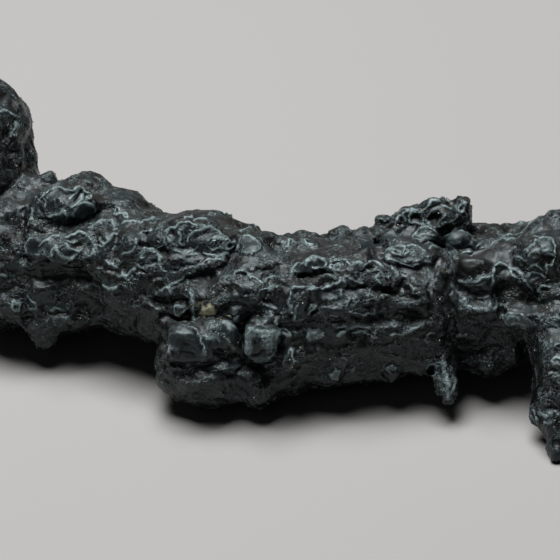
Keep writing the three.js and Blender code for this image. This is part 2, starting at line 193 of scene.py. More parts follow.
def near(line, reach):
    """Which points of the face lie within reach of the line's box."""
    low, high = line.min(axis=0) - reach, line.max(axis=0) + reach
    return np.flatnonzero((u > low[0]) & (u < high[0]) & (v > low[1]) & (v < high[1]))


def measured(line, found, closed=False):
    """How far the found points lie from the line, and how far along it, from 0 to 1."""
    ends = np.roll(line, -1, axis=0) if closed else line[1:]
    starts = line if closed else line[:-1]
    step = ends - starts
    length = np.hypot(step[:, 0], step[:, 1])
    before = np.concatenate([[0], np.cumsum(length)[:-1]])
    from_u = u[found, None] - starts[None, :, 0]
    from_v = v[found, None] - starts[None, :, 1]
    share = np.clip((from_u * step[:, 0] + from_v * step[:, 1]) / length**2, 0, 1)
    away = np.hypot(from_u - share * step[:, 0], from_v - share * step[:, 1])
    nearest = away.argmin(axis=1)
    rows = np.arange(len(found))
    along = (before[nearest] + share[rows, nearest] * length[nearest]) / length.sum()
    return away[rows, nearest], along


def painted_highlight_to(found, amount):
    """Paints the found points with at least that much of the highlight colour."""
    painted_highlight[found] = np.maximum(painted_highlight[found], amount)


def ridge(height, half, run, shine=1):
    """A raised rim with concave flanks, uneven in height and fading at both ends."""
    half *= RIM_WIDTH_LEFT
    height *= RIM_HEIGHT_LEFT
    line = bent(run)
    found = near(line, half)
    away, along = measured(line, found)
    fade = smoothstep(along, -0.06, 0.1) * smoothstep(1 - along, -0.06, 0.1)
    crest = fade * np.clip(1 - away / half, 0, 1)
    growth[found] += height * uneven[found] * crest**CONCAVE
    # the crest is painted a paler highlight colour, as far as shine asks
    painted_highlight_to(found, shine * np.minimum(1.25 * crest, 1))


def groove(depth, half, run):
    """A rounded crack."""
    depth *= CRACK_DEPTH_LEFT
    line = bent(run)
    found = near(line, half)
    away, along = measured(line, found)
    fade = smoothstep(along, -0.06, 0.12) * smoothstep(1 - along, -0.06, 0.12)
    bed = fade * np.clip(1 - (away / half) ** 2, 0, 1) ** 1.5
    growth[found] -= depth * bed
    # the crack loses the painted highlight colour
    painted_highlight[found] *= 1 - 0.9 * bed


def plate(height, dish, outline, flat=0.1, smooth=0.6, painted_highlight_inside=0.35, edge=0.9):
    """A flat slab that stands proud of the crust, dished inside its edge."""
    height *= PLATE_HEIGHT_LEFT
    line = bent(outline, closed=True)
    found = near(line, 0.4)
    away, _ = measured(line, found, closed=True)
    inside = np.zeros(len(found), bool)
    for (u1, v1), (u2, v2) in zip(line, np.roll(line, -1, axis=0)):
        spans = (v1 > v[found]) != (v2 > v[found])
        inside ^= spans & (u[found] < u1 + (u2 - u1) * (v[found] - v1) / (v2 - v1 + 1e-9))
    inward = np.where(inside, away, -away)
    held = found[inside & (looks_out[found] > 0.9)]
    spread = np.column_stack([u[held], v[held], np.ones(len(held))])
    plane = np.linalg.lstsq(spread, level[held], rcond=None)[0]
    flat_level = plane[0] * u[found] + plane[1] * v[found] + plane[2]
    level[found] += flat * smoothstep(inward, -0.1, 0.4) * (flat_level - level[found])
    raised = height * smoothstep(inward, -0.22, 0.1)
    growth[found] += raised - DISH_DEPTH_LEFT * dish * smoothstep(inward, 0.05, 0.8)
    calm[found] = np.maximum(calm[found], smooth * smoothstep(inward, -0.1, 0.3))
    # the slab's inside and its edge are painted a paler highlight colour
    painted_highlight_to(found, painted_highlight_inside * smoothstep(inward, -0.1, 0.2))
    rim = np.clip(1 - np.abs(inward - PLATE_RIM_INSET) / PLATE_RIM_HALF, 0, 1)
    painted_highlight_to(found, np.minimum(edge * uneven[found] * rim, 1))


def pack(share, outline):
    """Packs a crease with crust, so that it lies shallower."""
    plate(0, 0, outline, flat=share, smooth=0, painted_highlight_inside=0, edge=0)


def swell(height, at_u, at_v, half_u, half_v):
    """A rounded nodule, or a hollow where the height is below zero."""
    height *= NODULE_HEIGHT_LEFT
    middle, halves = np.array([at_u, at_v]), np.array([half_u, half_v])
    found = near(np.vstack([middle - halves, middle + halves]), 0.1)
    reach = np.hypot((u[found] - middle[0]) / halves[0], (v[found] - middle[1]) / halves[1])
    rounding = np.clip(1 - reach**2, 0, 1)
    growth[found] += height * rounding**1.3
    calm[found] = np.maximum(calm[found], 0.5 * rounding)
    # a nodule's top is painted a paler highlight colour, and a hollow loses it as painted shade
    if height > 0:
        painted_highlight_to(found, 0.45 * rounding)
    else:
        painted_highlight[found] *= 1 - rounding


def ring(height, half, at_u, at_v, half_u, half_v):
    """A small rim, closed and lopsided, with a hollow in it."""
    half *= RIM_WIDTH_LEFT
    height *= RIM_HEIGHT_LEFT
    turn = np.linspace(0, 2 * math.pi, 8)[:-1]
    swing = 1 + 0.28 * np.sin(2 * turn + 5 * at_u) + 0.2 * np.sin(3 * turn + 7 * at_v)
    spokes = np.column_stack([np.cos(turn), np.sin(turn)]) * swing[:, None]
    line = np.vstack([spokes, spokes[:1]]) * (half_u, half_v) + np.array([at_u, at_v])
    found = near(line, half)
    away, _ = measured(line, found)
    crest = np.clip(1 - away / half, 0, 1)
    growth[found] += height * uneven[found] * crest**CONCAVE
    swell(-0.8 * height, at_u, at_v, half_u, half_v)
    # the rim is painted a paler highlight colour
    painted_highlight_to(found, np.minimum(1.25 * crest, 1))


def lodged(amount, at_u, at_v, half_u, half_v):
    """A patch of pale earth caught in the crust, ragged at its edge."""
    reach = np.hypot((u - at_u) / half_u, (v - at_v) / half_v)
    ragged = reach + 0.25 * np.sin(7.3 * u + 2 * v) * np.sin(6.1 * v - 3 * u)
    earth[:] = np.maximum(earth, amount * smoothstep(1.1 - ragged, 0, 0.14))


# the raised head at the left
ridge(0.35, 0.5, [-36, 21, -35, 21.3, -34.4, 21.4, -33.6, 21, -33, 20.6])
swell(0.4, -34.6, 23, 0.7, 0.8)
swell(0.45, -33.7, 15.6, 0.7, 0.8)
swell(-0.5, -34.6, 18.3, 0.6, 0.9)
groove(0.4, 0.5, [-33.9, 20.4, -33.5, 19.2, -34.1, 17.6])
ridge(0.3, 0.4, [-33.3, 20, -33.5, 19, -33.9, 18])
groove(0.9, 0.9, [-35.6, 10.4, -34, 11.7, -32.8, 13, -32.2, 15])
swell(0.4, -28.7, 13.6, 0.8, 0.8)
swell(0.3, -26.4, 13.1, 0.8, 0.5)
swell(0.35, -32.2, 12.2, 0.7, 0.6)
swell(0.35, -33, 10.6, 0.8, 0.6)
swell(0.3, -34.2, 9.8, 0.6, 0.5)
swell(0.3, -33.6, 8.3, 0.7, 0.6)

# the upper plate at the left, with the slit under it
pack(0.6, [-31, 7.4, -28.4, 7.9, -25.6, 8.2, -22.6, 8.8, -22.6, 6.8, -26, 5.8, -29, 5.8, -31, 6.2])
pack(0.8, [-26.6, 8.1, -25.8, 9.4, -25, 10, -24.2, 9.6, -23.2, 8.9, -23.4, 8.2, -24.6, 7.8, -26, 7.8])
plate(0.4, 0.3, [
    -29.9, 9.2, -30, 10.3, -29, 11.1, -27.5, 11.5, -26.2, 11.1, -24.9, 11.3, -23.9, 10.6, -23.3, 9.4,
    -23.3, 8.5, -24.4, 7.9, -26.2, 8, -27.6, 7.7, -29.2, 7.5,
])
ridge(0.4, 0.45, [-29.7, 9.2, -30.1, 10.1, -29.2, 10.9, -27.7, 11.45, -26.6, 11.1, -25.6, 11.2])
ridge(0.35, 0.4, [-25.8, 11.1, -24.9, 11.3, -24.3, 11, -23.8, 10.2, -24.1, 9.9])
ring(0.2, 0.3, -24.1, 10.3, 0.3, 0.35)
ridge(0.2, 0.35, [-26.6, 10.2, -25.6, 10.9, -25, 11.2])
groove(0.3, 0.3, [-26.3, 9.4, -25.4, 10.2, -24.8, 10.9])
ridge(0.25, 0.35, [-26.1, 9, -25.3, 9.9, -24.6, 10.6])
ridge(0.4, 0.45, [-29.1, 7.8, -28.4, 8.3, -27.6, 8.5, -26.9, 8.6, -26.5, 8.1])
ridge(0.4, 0.4, [-26, 8, -25.7, 8.7, -24.8, 9.8, -24.2, 9.4, -23.2, 8.9, -23.5, 8.3])
ridge(0.3, 0.35, [-29.4, 10.6, -29.2, 9.8, -29.5, 9.1])
swell(0.15, -27.6, 10.1, 0.5, 0.4)
groove(0.7, 0.8, [-30, 6.6, -28.2, 6.5, -26.6, 6.8, -25.2, 7.1])
groove(0.4, 0.5, [-26.2, 7.3, -24.8, 7.5, -23.6, 7.9, -22.5, 8.4])
groove(0.5, 0.6, [-31, 10.6, -32, 9, -32.2, 7.6, -32.4, 6])
swell(0.45, -31, 7.1, 0.6, 0.8)
ridge(0.25, 0.4, [-31.2, 9.2, -30.8, 8.4, -31.4, 7.4])

# the lower plate at the left, with the fold across it
plate(0.4, 0.25, [
    -31.9, 3.7, -31.6, 4.9, -30.2, 5.4, -28.4, 5.3, -26.8, 5.4, -25.6, 5.9, -24.2, 5.8, -23.2, 5,
    -22.9, 4.1, -23.3, 3.2, -24.4, 2.6, -26.2, 2.5, -27.6, 2.1, -28.6, 2.5, -29.6, 3.1, -31, 3.2,
])
ridge(0.4, 0.4, [-28.7, 2.9, -28.4, 3.6, -28, 4.3, -27.6, 3.6, -27, 2.9, -26.2, 2.8, -25.4, 3])
ridge(0.3, 0.4, [-26.8, 4.4, -26.6, 3.9, -25.9, 3.7, -25, 3.8, -24.5, 4])
ridge(0.4, 0.4, [-26.7, 5.1, -25.9, 5.8, -24.8, 5.8, -23.7, 5.4, -23.1, 4.6])
ridge(0.25, 0.35, [-30.1, 4, -29.5, 4.7, -28.6, 5.3, -27.2, 5.4])
ridge(0.25, 0.35, [-26.7, 4.9, -26.1, 4.7, -25.2, 4.9])
ridge(0.3, 0.35, [-25.2, 3.6, -25.4, 3, -26, 2.6, -27, 2.2, -28, 2.4])
swell(-0.3, -25.4, 4.4, 0.7, 0.5)
ridge(0.3, 0.4, [-31.6, 3.5, -31.8, 4.4, -31.2, 5])
ridge(0.35, 0.4, [-23.1, 4.5, -22.5, 4.2, -21.9, 4.3, -21.4, 5.1, -21, 5.6, -20.2, 5.9])
ridge(0.25, 0.35, [-22.6, 5.6, -22.3, 5, -21.8, 4.5])
ridge(0.4, 0.4, [-24.1, 6.4, -23.4, 6.9, -22.4, 7.2, -21.3, 7.6, -20.8, 7.4, -20.6, 6.9])
groove(0.5, 0.4, [-23.6, 6.1, -22.8, 6.4, -21.6, 6.8])
groove(0.6, 0.8, [-33.6, 3, -31.6, 2.6, -29, 1.8, -27, 1.6, -24.6, 2, -22.6, 2.4])
swell(0.3, -31.4, 1.2, 0.8, 0.5)
swell(0.3, -30.2, 0.3, 0.6, 0.9)
swell(0.3, -34.3, -0.5, 1, 0.4)

# the dark hollow between the lower plate and the toes
swell(-1.2, -28, 0.7, 5.5, 1.9)

# the toes along the lower edge at the left
swell(0.5, -33.1, -3.2, 1.1, 0.7)
ring(0.2, 0.35, -33.1, -3.2, 0.7, 0.4)
swell(0.35, -33.3, -1.5, 0.9, 0.6)
ridge(0.3, 0.4, [-32, -2, -31.2, -2.5, -30.5, -3, -30.6, -3.7, -31.4, -3.7])
plate(0.35, 0.1, [-28.6, -4.6, -27.2, -4.8, -26.5, -4.4, -26.6, -4.9, -27.4, -5.7, -28.1, -5.8])
groove(0.4, 0.5, [-29.2, -4.1, -27.8, -4.1, -26.8, -4.1])
ridge(0.25, 0.4, [-29, -3.8, -28.2, -3.6, -27, -3.9])
swell(0.25, -20.8, -1, 1, 0.6)
ridge(0.25, 0.4, [-22.2, -0.2, -21.7, -0.8, -20.8, -1.2, -20.2, -0.8])
swell(0.25, -19.7, -4.1, 0.9, 0.4)
swell(0.25, -22.8, 0.8, 0.5, 0.9)
groove(0.4, 0.5, [-24, 1.4, -23, 0.4, -22.4, -1])

# the waist between the left plates and the bright block
ring(0.22, 0.3, -20.4, 8.6, 0.5, 0.35)
ring(0.2, 0.3, -19.4, 8.1, 0.4, 0.3)
ridge(0.25, 0.4, [-20, 7.1, -18.6, 7.3, -17, 7.4, -15.2, 7.7])
groove(0.25, 0.35, [-18, 7, -16.4, 7.1, -15.2, 7.3])
ridge(0.3, 0.4, [-22.1, 2.4, -21, 2, -20, 1.5, -19.2, 0.6, -18.9, 0])
ridge(0.3, 0.4, [-20.4, 0.8, -19.6, 0.4, -18.2, 1.2, -17.8, 1.6])
groove(0.35, 0.4, [-21.6, 1.2, -20.4, 1.1, -19.4, 1.8, -18.2, 2])
ridge(0.3, 0.35, [-19.6, 3.1, -18.8, 3.4, -18, 4.2, -17.7, 5.2])
ridge(0.35, 0.35, [-17.5, 5.6, -17.1, 6.1, -16.4, 6.2, -15.9, 6.4])
swell(-0.6, -17.1, 4.4, 1.1, 0.45)
groove(0.7, 0.4, [-17.4, 4.3, -15.8, 4.1, -14.7, 3.8, -13.8, 3.3])
ridge(0.3, 0.35, [-17.7, 3.2, -17, 3.8, -16, 4, -15.1, 3.9])
plate(0.25, 0.15, [-17.6, 2.6, -17, 3.6, -15.4, 3.7, -14.6, 3, -14.8, 2.3, -16, 2.3])
groove(0.6, 0.35, [-17.3, 1.8, -16.4, 2.1, -15.2, 2.25])
ridge(0.35, 0.4, [-15.2, 3.4, -15, 2.6, -15, 1.8, -14.5, 1.2, -13.8, 0.9])
swell(-0.5, -17.1, 1.1, 0.8, 0.4)
swell(-0.3, -15.4, 0.5, 0.9, 0.5)

# the bright block, a cluster of rimmed plates
plate(0.35, 0, [
    -14.4, 5.4, -13.6, 6.5, -11.6, 7.2, -9, 6.8, -7.2, 5.6, -5.7, 4.8, -5.8, 3.6, -7.4, 2.9, -9.8, 3,
    -12, 3.2, -14.2, 4,
], smooth=0.1)
ridge(0.4, 0.4, [-14.4, 5.6, -14, 6.3, -13.2, 6.6, -12.7, 6.4, -12.3, 7, -11.6, 7.2, -11.1, 6.9])
swell(-0.2, -13.3, 5.9, 0.6, 0.5)
ridge(0.35, 0.4, [-12.3, 6.2, -12.3, 5.4, -12.7, 4.7, -11.9, 4.6])
ridge(0.4, 0.4, [-11.5, 4.7, -11.1, 5.4, -10.6, 6.1, -10, 6.5, -9.2, 6.4])
ridge(0.45, 0.5, [-9.6, 6.4, -8.8, 6.7, -8.3, 6.2, -7.7, 5.7, -7.2, 5.2])
plate(0.3, 0.3, [-11.2, 4.9, -10.4, 6.2, -9, 6.5, -7.8, 5.8, -7.4, 5.2, -8.6, 4.9, -9.8, 4.5])
ridge(0.3, 0.35, [-8.8, 4.8, -8.9, 4.3, -8.3, 4, -7.4, 4, -6.8, 4])
ridge(0.25, 0.35, [-8.3, 4.9, -7.6, 5, -6.8, 4.9])
ring(0.35, 0.35, -6.2, 4.3, 0.45, 0.65)
ridge(0.3, 0.4, [-6.1, 3.4, -6.8, 3, -7.8, 2.9, -9, 3, -9.7, 3.4])
ridge(0.25, 0.35, [-11.6, 3.4, -11, 3.7, -10.4, 3.8, -10, 4.4])
ridge(0.2, 0.35, [-13.9, 5.2, -13.6, 4.6, -12.8, 4.3])
ridge(0.25, 0.4, [-12, 7.6, -11.4, 8.1, -10.8, 8])
ridge(0.2, 0.35, [-10.9, 7.5, -9.8, 7.7, -8.9, 7.4])
groove(0.8, 0.35, [-13.7, 1.3, -12.6, 1.4, -11.7, 1.9, -10.4, 2.1, -9.4, 2.4])
ridge(0.35, 0.3, [-10.3, 2, -9.2, 2.3, -8.2, 2.6, -7.2, 2.65, -6.8, 2.5])
swell(0.3, -8.6, 2, 0.45, 0.5)
swell(-0.8, -8.8, 0.7, 1.3, 0.8)
groove(1, 0.7, [-7.2, 1.2, -6.6, 2.2, -5.7, 3, -5.1, 3.9])

# the peaked plate right of it
swell(0.45, -3.8, 6.1, 0.6, 0.7)
ridge(0.3, 0.35, [-5, 5.9, -4.4, 6.2, -3.9, 6.7, -3.5, 6.3])
plate(0.3, 0.2, [-4.8, 5, -4.2, 5.5, -3.4, 5.4, -2.4, 4.4, -3.3, 3.1, -4.4, 3.2, -4.9, 4])
ridge(0.3, 0.3, [-4.7, 5.1, -4.2, 5.4, -3.6, 5.5, -3, 4.9, -2.3, 4.4, -2.7, 3.7, -3.3, 3.1])
groove(0.5, 0.3, [-3, 1.4, -2.2, 1.2, -1.2, 1.1])
ridge(0.35, 0.35, [-5.7, 0.9, -5, 1, -4.4, 1.1, -4, 0.5, -3.4, 0.3, -2.6, 0.1, -2.2, -0.4])
ridge(0.35, 0.35, [-2.2, -0.2, -1.7, 0.2, -1, 0.3, -0.2, 0.4])
ridge(0.3, 0.35, [-2, -1.2, -1.6, -0.9, -1, -0.8, -0.2, -0.9])
swell(-0.4, -4.5, 0.6, 0.4, 0.3)
swell(-0.5, -4.2, -1.65, 0.6, 0.35)
swell(-0.35, -1.9, -2.7, 1.1, 0.5)
swell(1.7, -5.8, -4, 2, 0.9)
swell(0.35, -5.6, -2, 0.6, 0.4)
swell(0.3, -5.8, 0.3, 0.8, 0.6)
swell(0.7, -3.3, -4.7, 1.1, 0.9)
swell(0.7, -1.4, -4.8, 1.1, 0.8)
groove(0.25, 0.3, [-4.8, -3.4, -3.6, -3.3, -2.2, -3.5, -0.8, -3.7])

# the long diagonal ridge, and the hollow and nodule under it
ridge(0.45, 0.4, [-15, -1.2, -14, -0.9, -13.2, -0.5, -12.3, 0, -11.6, 0.6, -10.8, 1, -10.2, 1.3])
plate(0.35, 0.1, [-15.6, -1.9, -14.6, -1, -13.6, -0.9, -13, -1.7, -14.2, -1.9])
ridge(0.3, 0.3, [-14, -1, -13.6, -1.4, -13, -1.9])
swell(-0.4, -14.7, -2.7, 1.7, 0.65)
groove(0.7, 0.5, [-13.6, -2.6, -12.4, -2.3, -11.2, -2.6])
swell(0.7, -12.6, -3.7, 1.6, 0.8)
ring(0.18, 0.3, -12.2, -3.5, 0.6, 0.45)
ridge(0.4, 0.4, [-11.2, -1.2, -11, -2.2, -10.6, -3, -10.5, -4, -10.7, -5.2])
groove(0.5, 0.4, [-11.4, -2.8, -11.3, -4, -11.3, -5.2])
swell(0.25, -9.9, -1.8, 0.7, 0.6)
groove(0.4, 0.5, [-9.4, -2.6, -8.2, -2.2, -7, -1.4])
swell(0.25, -8.9, -3.8, 0.9, 0.6)

# the creases round the bulge
pack(0.75, [
    -8, -3.2, -6, -2.6, -3, -2.8, -0.4, -3.2, 0.4, -4, -0.4, -5, -3, -5, -4.8, -5, -6.4, -4.8, -8, -4.4,
])
pack(0.8, [-15.8, -1.8, -13, -1.6, -11.2, -2.2, -11.2, -4, -13, -4.4, -15.8, -3.8])
pack(0.6, [-0.2, -5.2, 2, -5.1, 5, -5, 8, -4.3, 8, -5.4, 5, -6.4, 2, -6.9, -0.2, -6.6])

# the bulge: the big block with its dark panel and lip, its right lobe, the ball and the small block
plate(0.5, 0, [
    -13.6, -6.2, -12.8, -5.7, -11.4, -5.6, -10.4, -6, -9.8, -6.9, -9.5, -8, -9.3, -9.2, -9.6, -10.2,
    -11, -10.7, -12.6, -10.5, -13.6, -9.6, -13.8, -7.8,
], flat=0.2, smooth=0.8, painted_highlight_inside=0.42, edge=0.1)
swell(0.3, -11.7, -7, 1.9, 1)
ridge(0.12, 0.6, [-13.4, -6.9, -12.6, -6.6, -11.6, -6.6, -10.8, -6.5, -10.2, -6.8], shine=0.6)
swell(-0.15, -11.5, -7.8, 0.5, 0.7)
groove(0.3, 0.3, [-13.4, -8.8, -12.5, -9.1, -11.8, -8.8, -10.8, -9, -10.2, -9.2])
swell(0.12, -11.8, -9.7, 1.7, 0.5)
plate(0.4, 0, [
    -9.9, -7.2, -9.2, -6.7, -8.2, -6.5, -7.2, -6.6, -6.3, -7.4, -6.2, -8.4, -6.8, -9.4, -8, -10,
    -9.2, -10,
], flat=0.1, smooth=0.75, painted_highlight_inside=0.45, edge=0.1)
ridge(0.2, 0.6, [-10.2, -7.3, -9.7, -7.4, -9.2, -7.5, -9.5, -8], shine=0.5)
ridge(0.25, 0.8, [-9.2, -7.4, -8.4, -7.1, -7.7, -7.1, -7, -7.5], shine=0.85)
ridge(0.12, 0.4, [-8.2, -7.5, -8.6, -8.2], shine=0.6)
swell(-0.55, -7.6, -8.9, 1.1, 0.8)
swell(0.35, -8.7, -5.6, 1, 0.9)
plate(0.2, 0, [-9.6, -5, -8.6, -4.6, -7.8, -5, -7.8, -6.2, -8.8, -6.5, -9.6, -6], smooth=0.3, edge=0.1)
plate(0.35, 0, [
    -7.4, -5.3, -6.8, -4.9, -6, -5, -5.3, -5.8, -5, -7, -5.2, -8.1, -5.9, -8.4, -6.6, -7.2, -7.4, -6.4,
], flat=0, smooth=0.8, painted_highlight_inside=0.45, edge=0.1)
swell(0.3, -6.4, -5.9, 1, 1)
ridge(0.15, 0.6, [-7.1, -5.6, -6.6, -5.4, -6.1, -5.6, -5.7, -6.1], shine=0.85)
ridge(0.15, 0.3, [-5.6, -5.8, -5.2, -6.5, -5.1, -7.3, -5.4, -8], shine=0.7)
groove(0.6, 0.45, [-5, -4.6, -4.7, -5.4, -4.7, -6.8, -4.7, -8.2])
plate(0.5, 0, [
    -4.6, -6.4, -4, -5.8, -2.8, -5.5, -1, -5.6, -0.3, -6.3, -0.1, -7.6, -0.2, -9.2, -0.9, -9.9,
    -2.4, -10.1, -3.6, -9.6, -4.4, -8.6,
], flat=0.2, smooth=0.1, painted_highlight_inside=0.68, edge=0.2)
ridge(0.15, 0.7, [-3.9, -7.2, -3.7, -6.5, -3, -6.2, -2.2, -6.5, -1.5, -6.6, -0.8, -6.3, -0.4, -6.9])
ridge(0.1, 0.4, [-4.1, -7, -4.2, -8, -3.9, -9])
plate(-0.2, 0, [-3.7, -7.2, -2.6, -7.2, -2.3, -9.2, -3.4, -9.3], flat=0, smooth=0.97, painted_highlight_inside=0, edge=0)
# the dark panel keeps only a little of the painted highlight colour
painted_highlight[near(np.array([(-3.4, -9.2), (-2.2, -7.3)]), 0)] *= 0.2
for run in (
    [-3.8, -6.3, -3.5, -6, -3.1, -6.1],
    [-2.9, -6.5, -2.5, -6.2, -2.2, -6.6],
    [-1.9, -6.1, -1.4, -6.4, -1.1, -6.1],
    [-0.9, -6.6, -0.7, -7.1],
    [-2.1, -7, -1.6, -6.9, -1.4, -7.2],
    [-1.7, -7.9, -1.3, -7.6, -0.9, -8],
    [-1.5, -8.6, -1.1, -8.9, -0.8, -8.5],
    [-4, -7.3, -3.8, -7.8, -4, -8.5],
    [-1.7, -9.3, -1.2, -9.4],
):
    ridge(0.22, 0.28, run)
ridge(0.2, 0.3, [-1.4, -7.2, -0.9, -7.8, -1.4, -8.4, -0.7, -8.9, -1.3, -9.4])
ridge(0.15, 0.3, [-0.5, -7.4, -0.4, -8.2, -0.5, -9])
ridge(0.15, 0.3, [-2, -10.6, -1.2, -10.4, -0.5, -10.3])
groove(0.6, 0.4, [0.2, -5.4, 0.25, -6.6, 0.2, -8, 0.25, -9.4])
swell(1.1, -7, -10.9, 2.2, 1.1)
plate(0.45, 0, [
    -7.9, -10.8, -6.9, -10.2, -6.2, -9.4, -5.4, -9.2, -4.9, -9.9, -5.1, -10.9, -6.2, -11.3, -7.4, -11.4,
], flat=0, smooth=0.7, painted_highlight_inside=0.65, edge=0.3)
plate(0.25, 0, [-8.9, -11.6, -8.2, -11.1, -7.4, -11.3, -7.4, -12, -8.1, -12.4, -8.8, -12.2], edge=0.2)
swell(0.9, -12.2, -10.8, 2, 0.8)
swell(-0.55, -11.2, -12, 1.8, 0.6)
swell(0.35, -14.2, -13, 0.9, 0.9)
swell(0.3, -2, -10.4, 1, 0.4)
swell(0.3, -15.2, -4, 0.7, 1)
swell(0.3, -15.5, -6.3, 0.5, 0.8)
swell(0.3, -14.3, -9.3, 0.5, 0.9)
groove(0.5, 0.5, [-14.3, -5, -14.2, -7, -14, -9])

# the beads and facets along the top edge in the middle
swell(0.3, 0.9, 5.7, 0.7, 0.5)
plate(0.25, 0.1, [-0.1, 4.4, 0.2, 5.1, 1.2, 5.2, 2, 4.7, 1.7, 4, 0.7, 3.8], flat=0)
plate(0.25, 0.1, [2.3, 4.6, 2.8, 5.2, 4, 5.1, 5, 4.4, 4.6, 4, 3.2, 4], flat=0)
ridge(0.25, 0.3, [0.9, 5.1, 1.1, 4.5, 0.8, 4])
ridge(0.25, 0.3, [3, 5, 3.3, 4.5, 4.2, 4.4])
swell(0.3, 7.4, 5.4, 0.6, 0.8)
swell(0.2, 8.8, 4.6, 0.4, 0.35)
swell(0.25, 10.3, 6, 0.9, 0.5)
swell(0.25, 12.9, 5, 0.7, 0.35)
swell(0.3, 14.9, 6.2, 0.5, 0.45)
swell(0.3, 1, 2.9, 1, 0.5)
swell(0.3, 0.2, 0.1, 0.9, 0.5)

# the humps and notches that the top edge is seen against
swell(0.5, 7.9, 6, 1.3, 1)
swell(0.4, 10.4, 6, 1.2, 0.8)
swell(-0.9, 5.4, 5.7, 1.1, 0.9)
swell(-0.4, 9.2, 6.6, 0.6, 0.6)
swell(0.5, 2.3, 6, 2, 0.8)
swell(-0.6, 0.4, 6.4, 0.8, 0.6)
swell(0.5, -8, 8.6, 1.4, 0.7)
swell(-0.4, -10.4, 8.8, 1.2, 0.6)
swell(0.4, -13.6, 9, 1.8, 0.6)
swell(-0.4, -16.4, 9.4, 1, 0.6)
swell(0.4, -19, 9.9, 1.4, 0.6)
swell(0.35, -22.3, 12, 1, 0.9)
swell(-0.9, -27.7, 13.3, 0.6, 0.9)
swell(0.5, -28.9, 14.2, 0.9, 0.7)
swell(0.5, 12.8, 7.6, 0.9, 0.8)
swell(-0.8, 11.4, 6.6, 0.6, 0.7)
swell(-0.6, 14, 8.2, 0.5, 0.5)
swell(0.5, 15.5, 8.8, 0.9, 0.7)
swell(0.5, 18.8, 9.8, 1.6, 0.9)
swell(-0.5, 21.5, 9.8, 0.8, 0.5)
swell(0.6, 23, 9.6, 0.9, 0.9)
swell(0.3, 26, 7.1, 1.6, 0.6)
swell(-1.3, 29.2, 6.8, 1.9, 1.2)
swell(0.4, 33.6, 8.7, 1.4, 0.8)

# the oval plate and the gap that runs under it
plate(0.55, 0.15, [
    1.4, 1.2, 1.9, 2.1, 3, 2.3, 4.2, 2.9, 5.6, 2.6, 5.9, 1.9, 5.6, 1.3, 4, 1, 2.6, 0.8, 1.5, 0.6,
])
ridge(0.4, 0.4, [2.9, 1.8, 3.6, 2.2, 4.4, 2.5, 5.2, 2.7, 5.7, 2.4])
ridge(0.3, 0.3, [1.9, 2, 1.4, 1.4, 1.3, 0.9, 1.6, 0.4])
ridge(0.2, 0.3, [3.9, 1.6, 4.5, 1.3, 5.2, 1.5])
groove(1.1, 0.4, [2.2, 0.4, 3.2, 0.8, 4.3, 0.8, 5.4, 1, 6.4, 1.2, 7.2, 1])
swell(0.3, 6.5, 0.4, 0.9, 0.5)
ridge(0.4, 0.35, [6.2, 2.1, 6.5, 2.5, 7.1, 2.2, 7.9, 2.5, 8.8, 2.4])
ridge(0.3, 0.35, [7.9, 2.4, 8.4, 2, 9, 1.6])
ring(0.25, 0.3, 6.8, 1.7, 0.5, 0.35)
ridge(0.3, 0.4, [9.3, 2.2, 9.8, 2.3, 10.2, 1.9])
groove(0.6, 0.3, [9.2, 1.2, 10, 1.3, 10.7, 1.3])
swell(-0.7, 11.3, 1.5, 0.7, 0.4)
ridge(0.4, 0.35, [10.4, 1.6, 11.1, 2, 11.7, 2.5, 12.2, 2.2, 13, 1.6])
ridge(0.25, 0.35, [12.2, 1.3, 12.6, 0.6, 13.2, 0.4, 13.8, 0.8])
ridge(0.2, 0.35, [11.7, 0.6, 11.9, -0.2, 12.4, -0.6])
ridge(0.2, 0.35, [13.6, 1.9, 14.4, 1, 14.9, 0.4])
swell(0.3, 16.8, 0.5, 0.8, 0.5)

# the long plate, from its bright left end to the crack in its right half
plate(0.45, 0.15, [
    1.1, -0.9, 2, -0.7, 3.2, -1.1, 5.2, -0.9, 6.8, -0.2, 8, 0.2, 8.2, -0.6, 7.4, -1.6, 8, -2.4, 7, -2.6,
    5, -2.9, 3.6, -3.9, 2.6, -5, 1.6, -5.1, 1.1, -3.4,
])
ridge(0.4, 0.3, [3.4, -1.5, 4.2, -1.2, 5.3, -1, 6, -0.8, 6.8, -0.4, 7.4, 0, 7.8, 0.2])
ridge(0.25, 0.35, [1.3, -0.9, 2.2, -0.9, 3, -1.1, 3.8, -0.9, 4.6, -0.7])
ridge(0.3, 0.35, [8.5, 0.2, 9, -0.1, 9.6, -0.3, 10.4, -0.3])
ridge(0.35, 0.5, [1.5, -2.9, 1.3, -3.6, 1.6, -4.4, 1.7, -5])
ridge(0.3, 0.35, [2.5, -2.7, 2.1, -3.3, 1.8, -4, 1.6, -4.8])
swell(-0.3, 1.7, -1.5, 0.4, 0.4)
swell(-0.25, 2.6, -1.4, 0.3, 0.25)
groove(0.4, 0.3, [3.6, -1.8, 3.6, -2.7, 3.1, -3.5])
ridge(0.25, 0.3, [3.4, -3.9, 4, -3.6, 4.6, -3.2])
swell(-0.6, 4.2, -3.95, 0.6, 0.3)
groove(0.7, 0.4, [4.7, -3.1, 5.6, -2.8, 6.6, -2.7, 7.6, -2.6, 8, -2.2])
swell(0.3, 7, -1.4, 0.9, 0.6)
swell(0.3, 6.9, -3.6, 1.1, 0.6)
ridge(0.3, 0.35, [6.1, -4.2, 6.8, -4.3, 7.1, -4.6])
groove(0.7, 0.3, [7.8, -0.8, 8.7, -1.1, 9.4, -1.2, 10.2, -0.9, 11, -0.75])
swell(0.3, 10.7, -1.4, 0.8, 0.4)
swell(0.25, 9.2, -2, 1.2, 0.7)
ridge(0.2, 0.3, [8.3, -3.2, 8.6, -2.6, 8.5, -2])
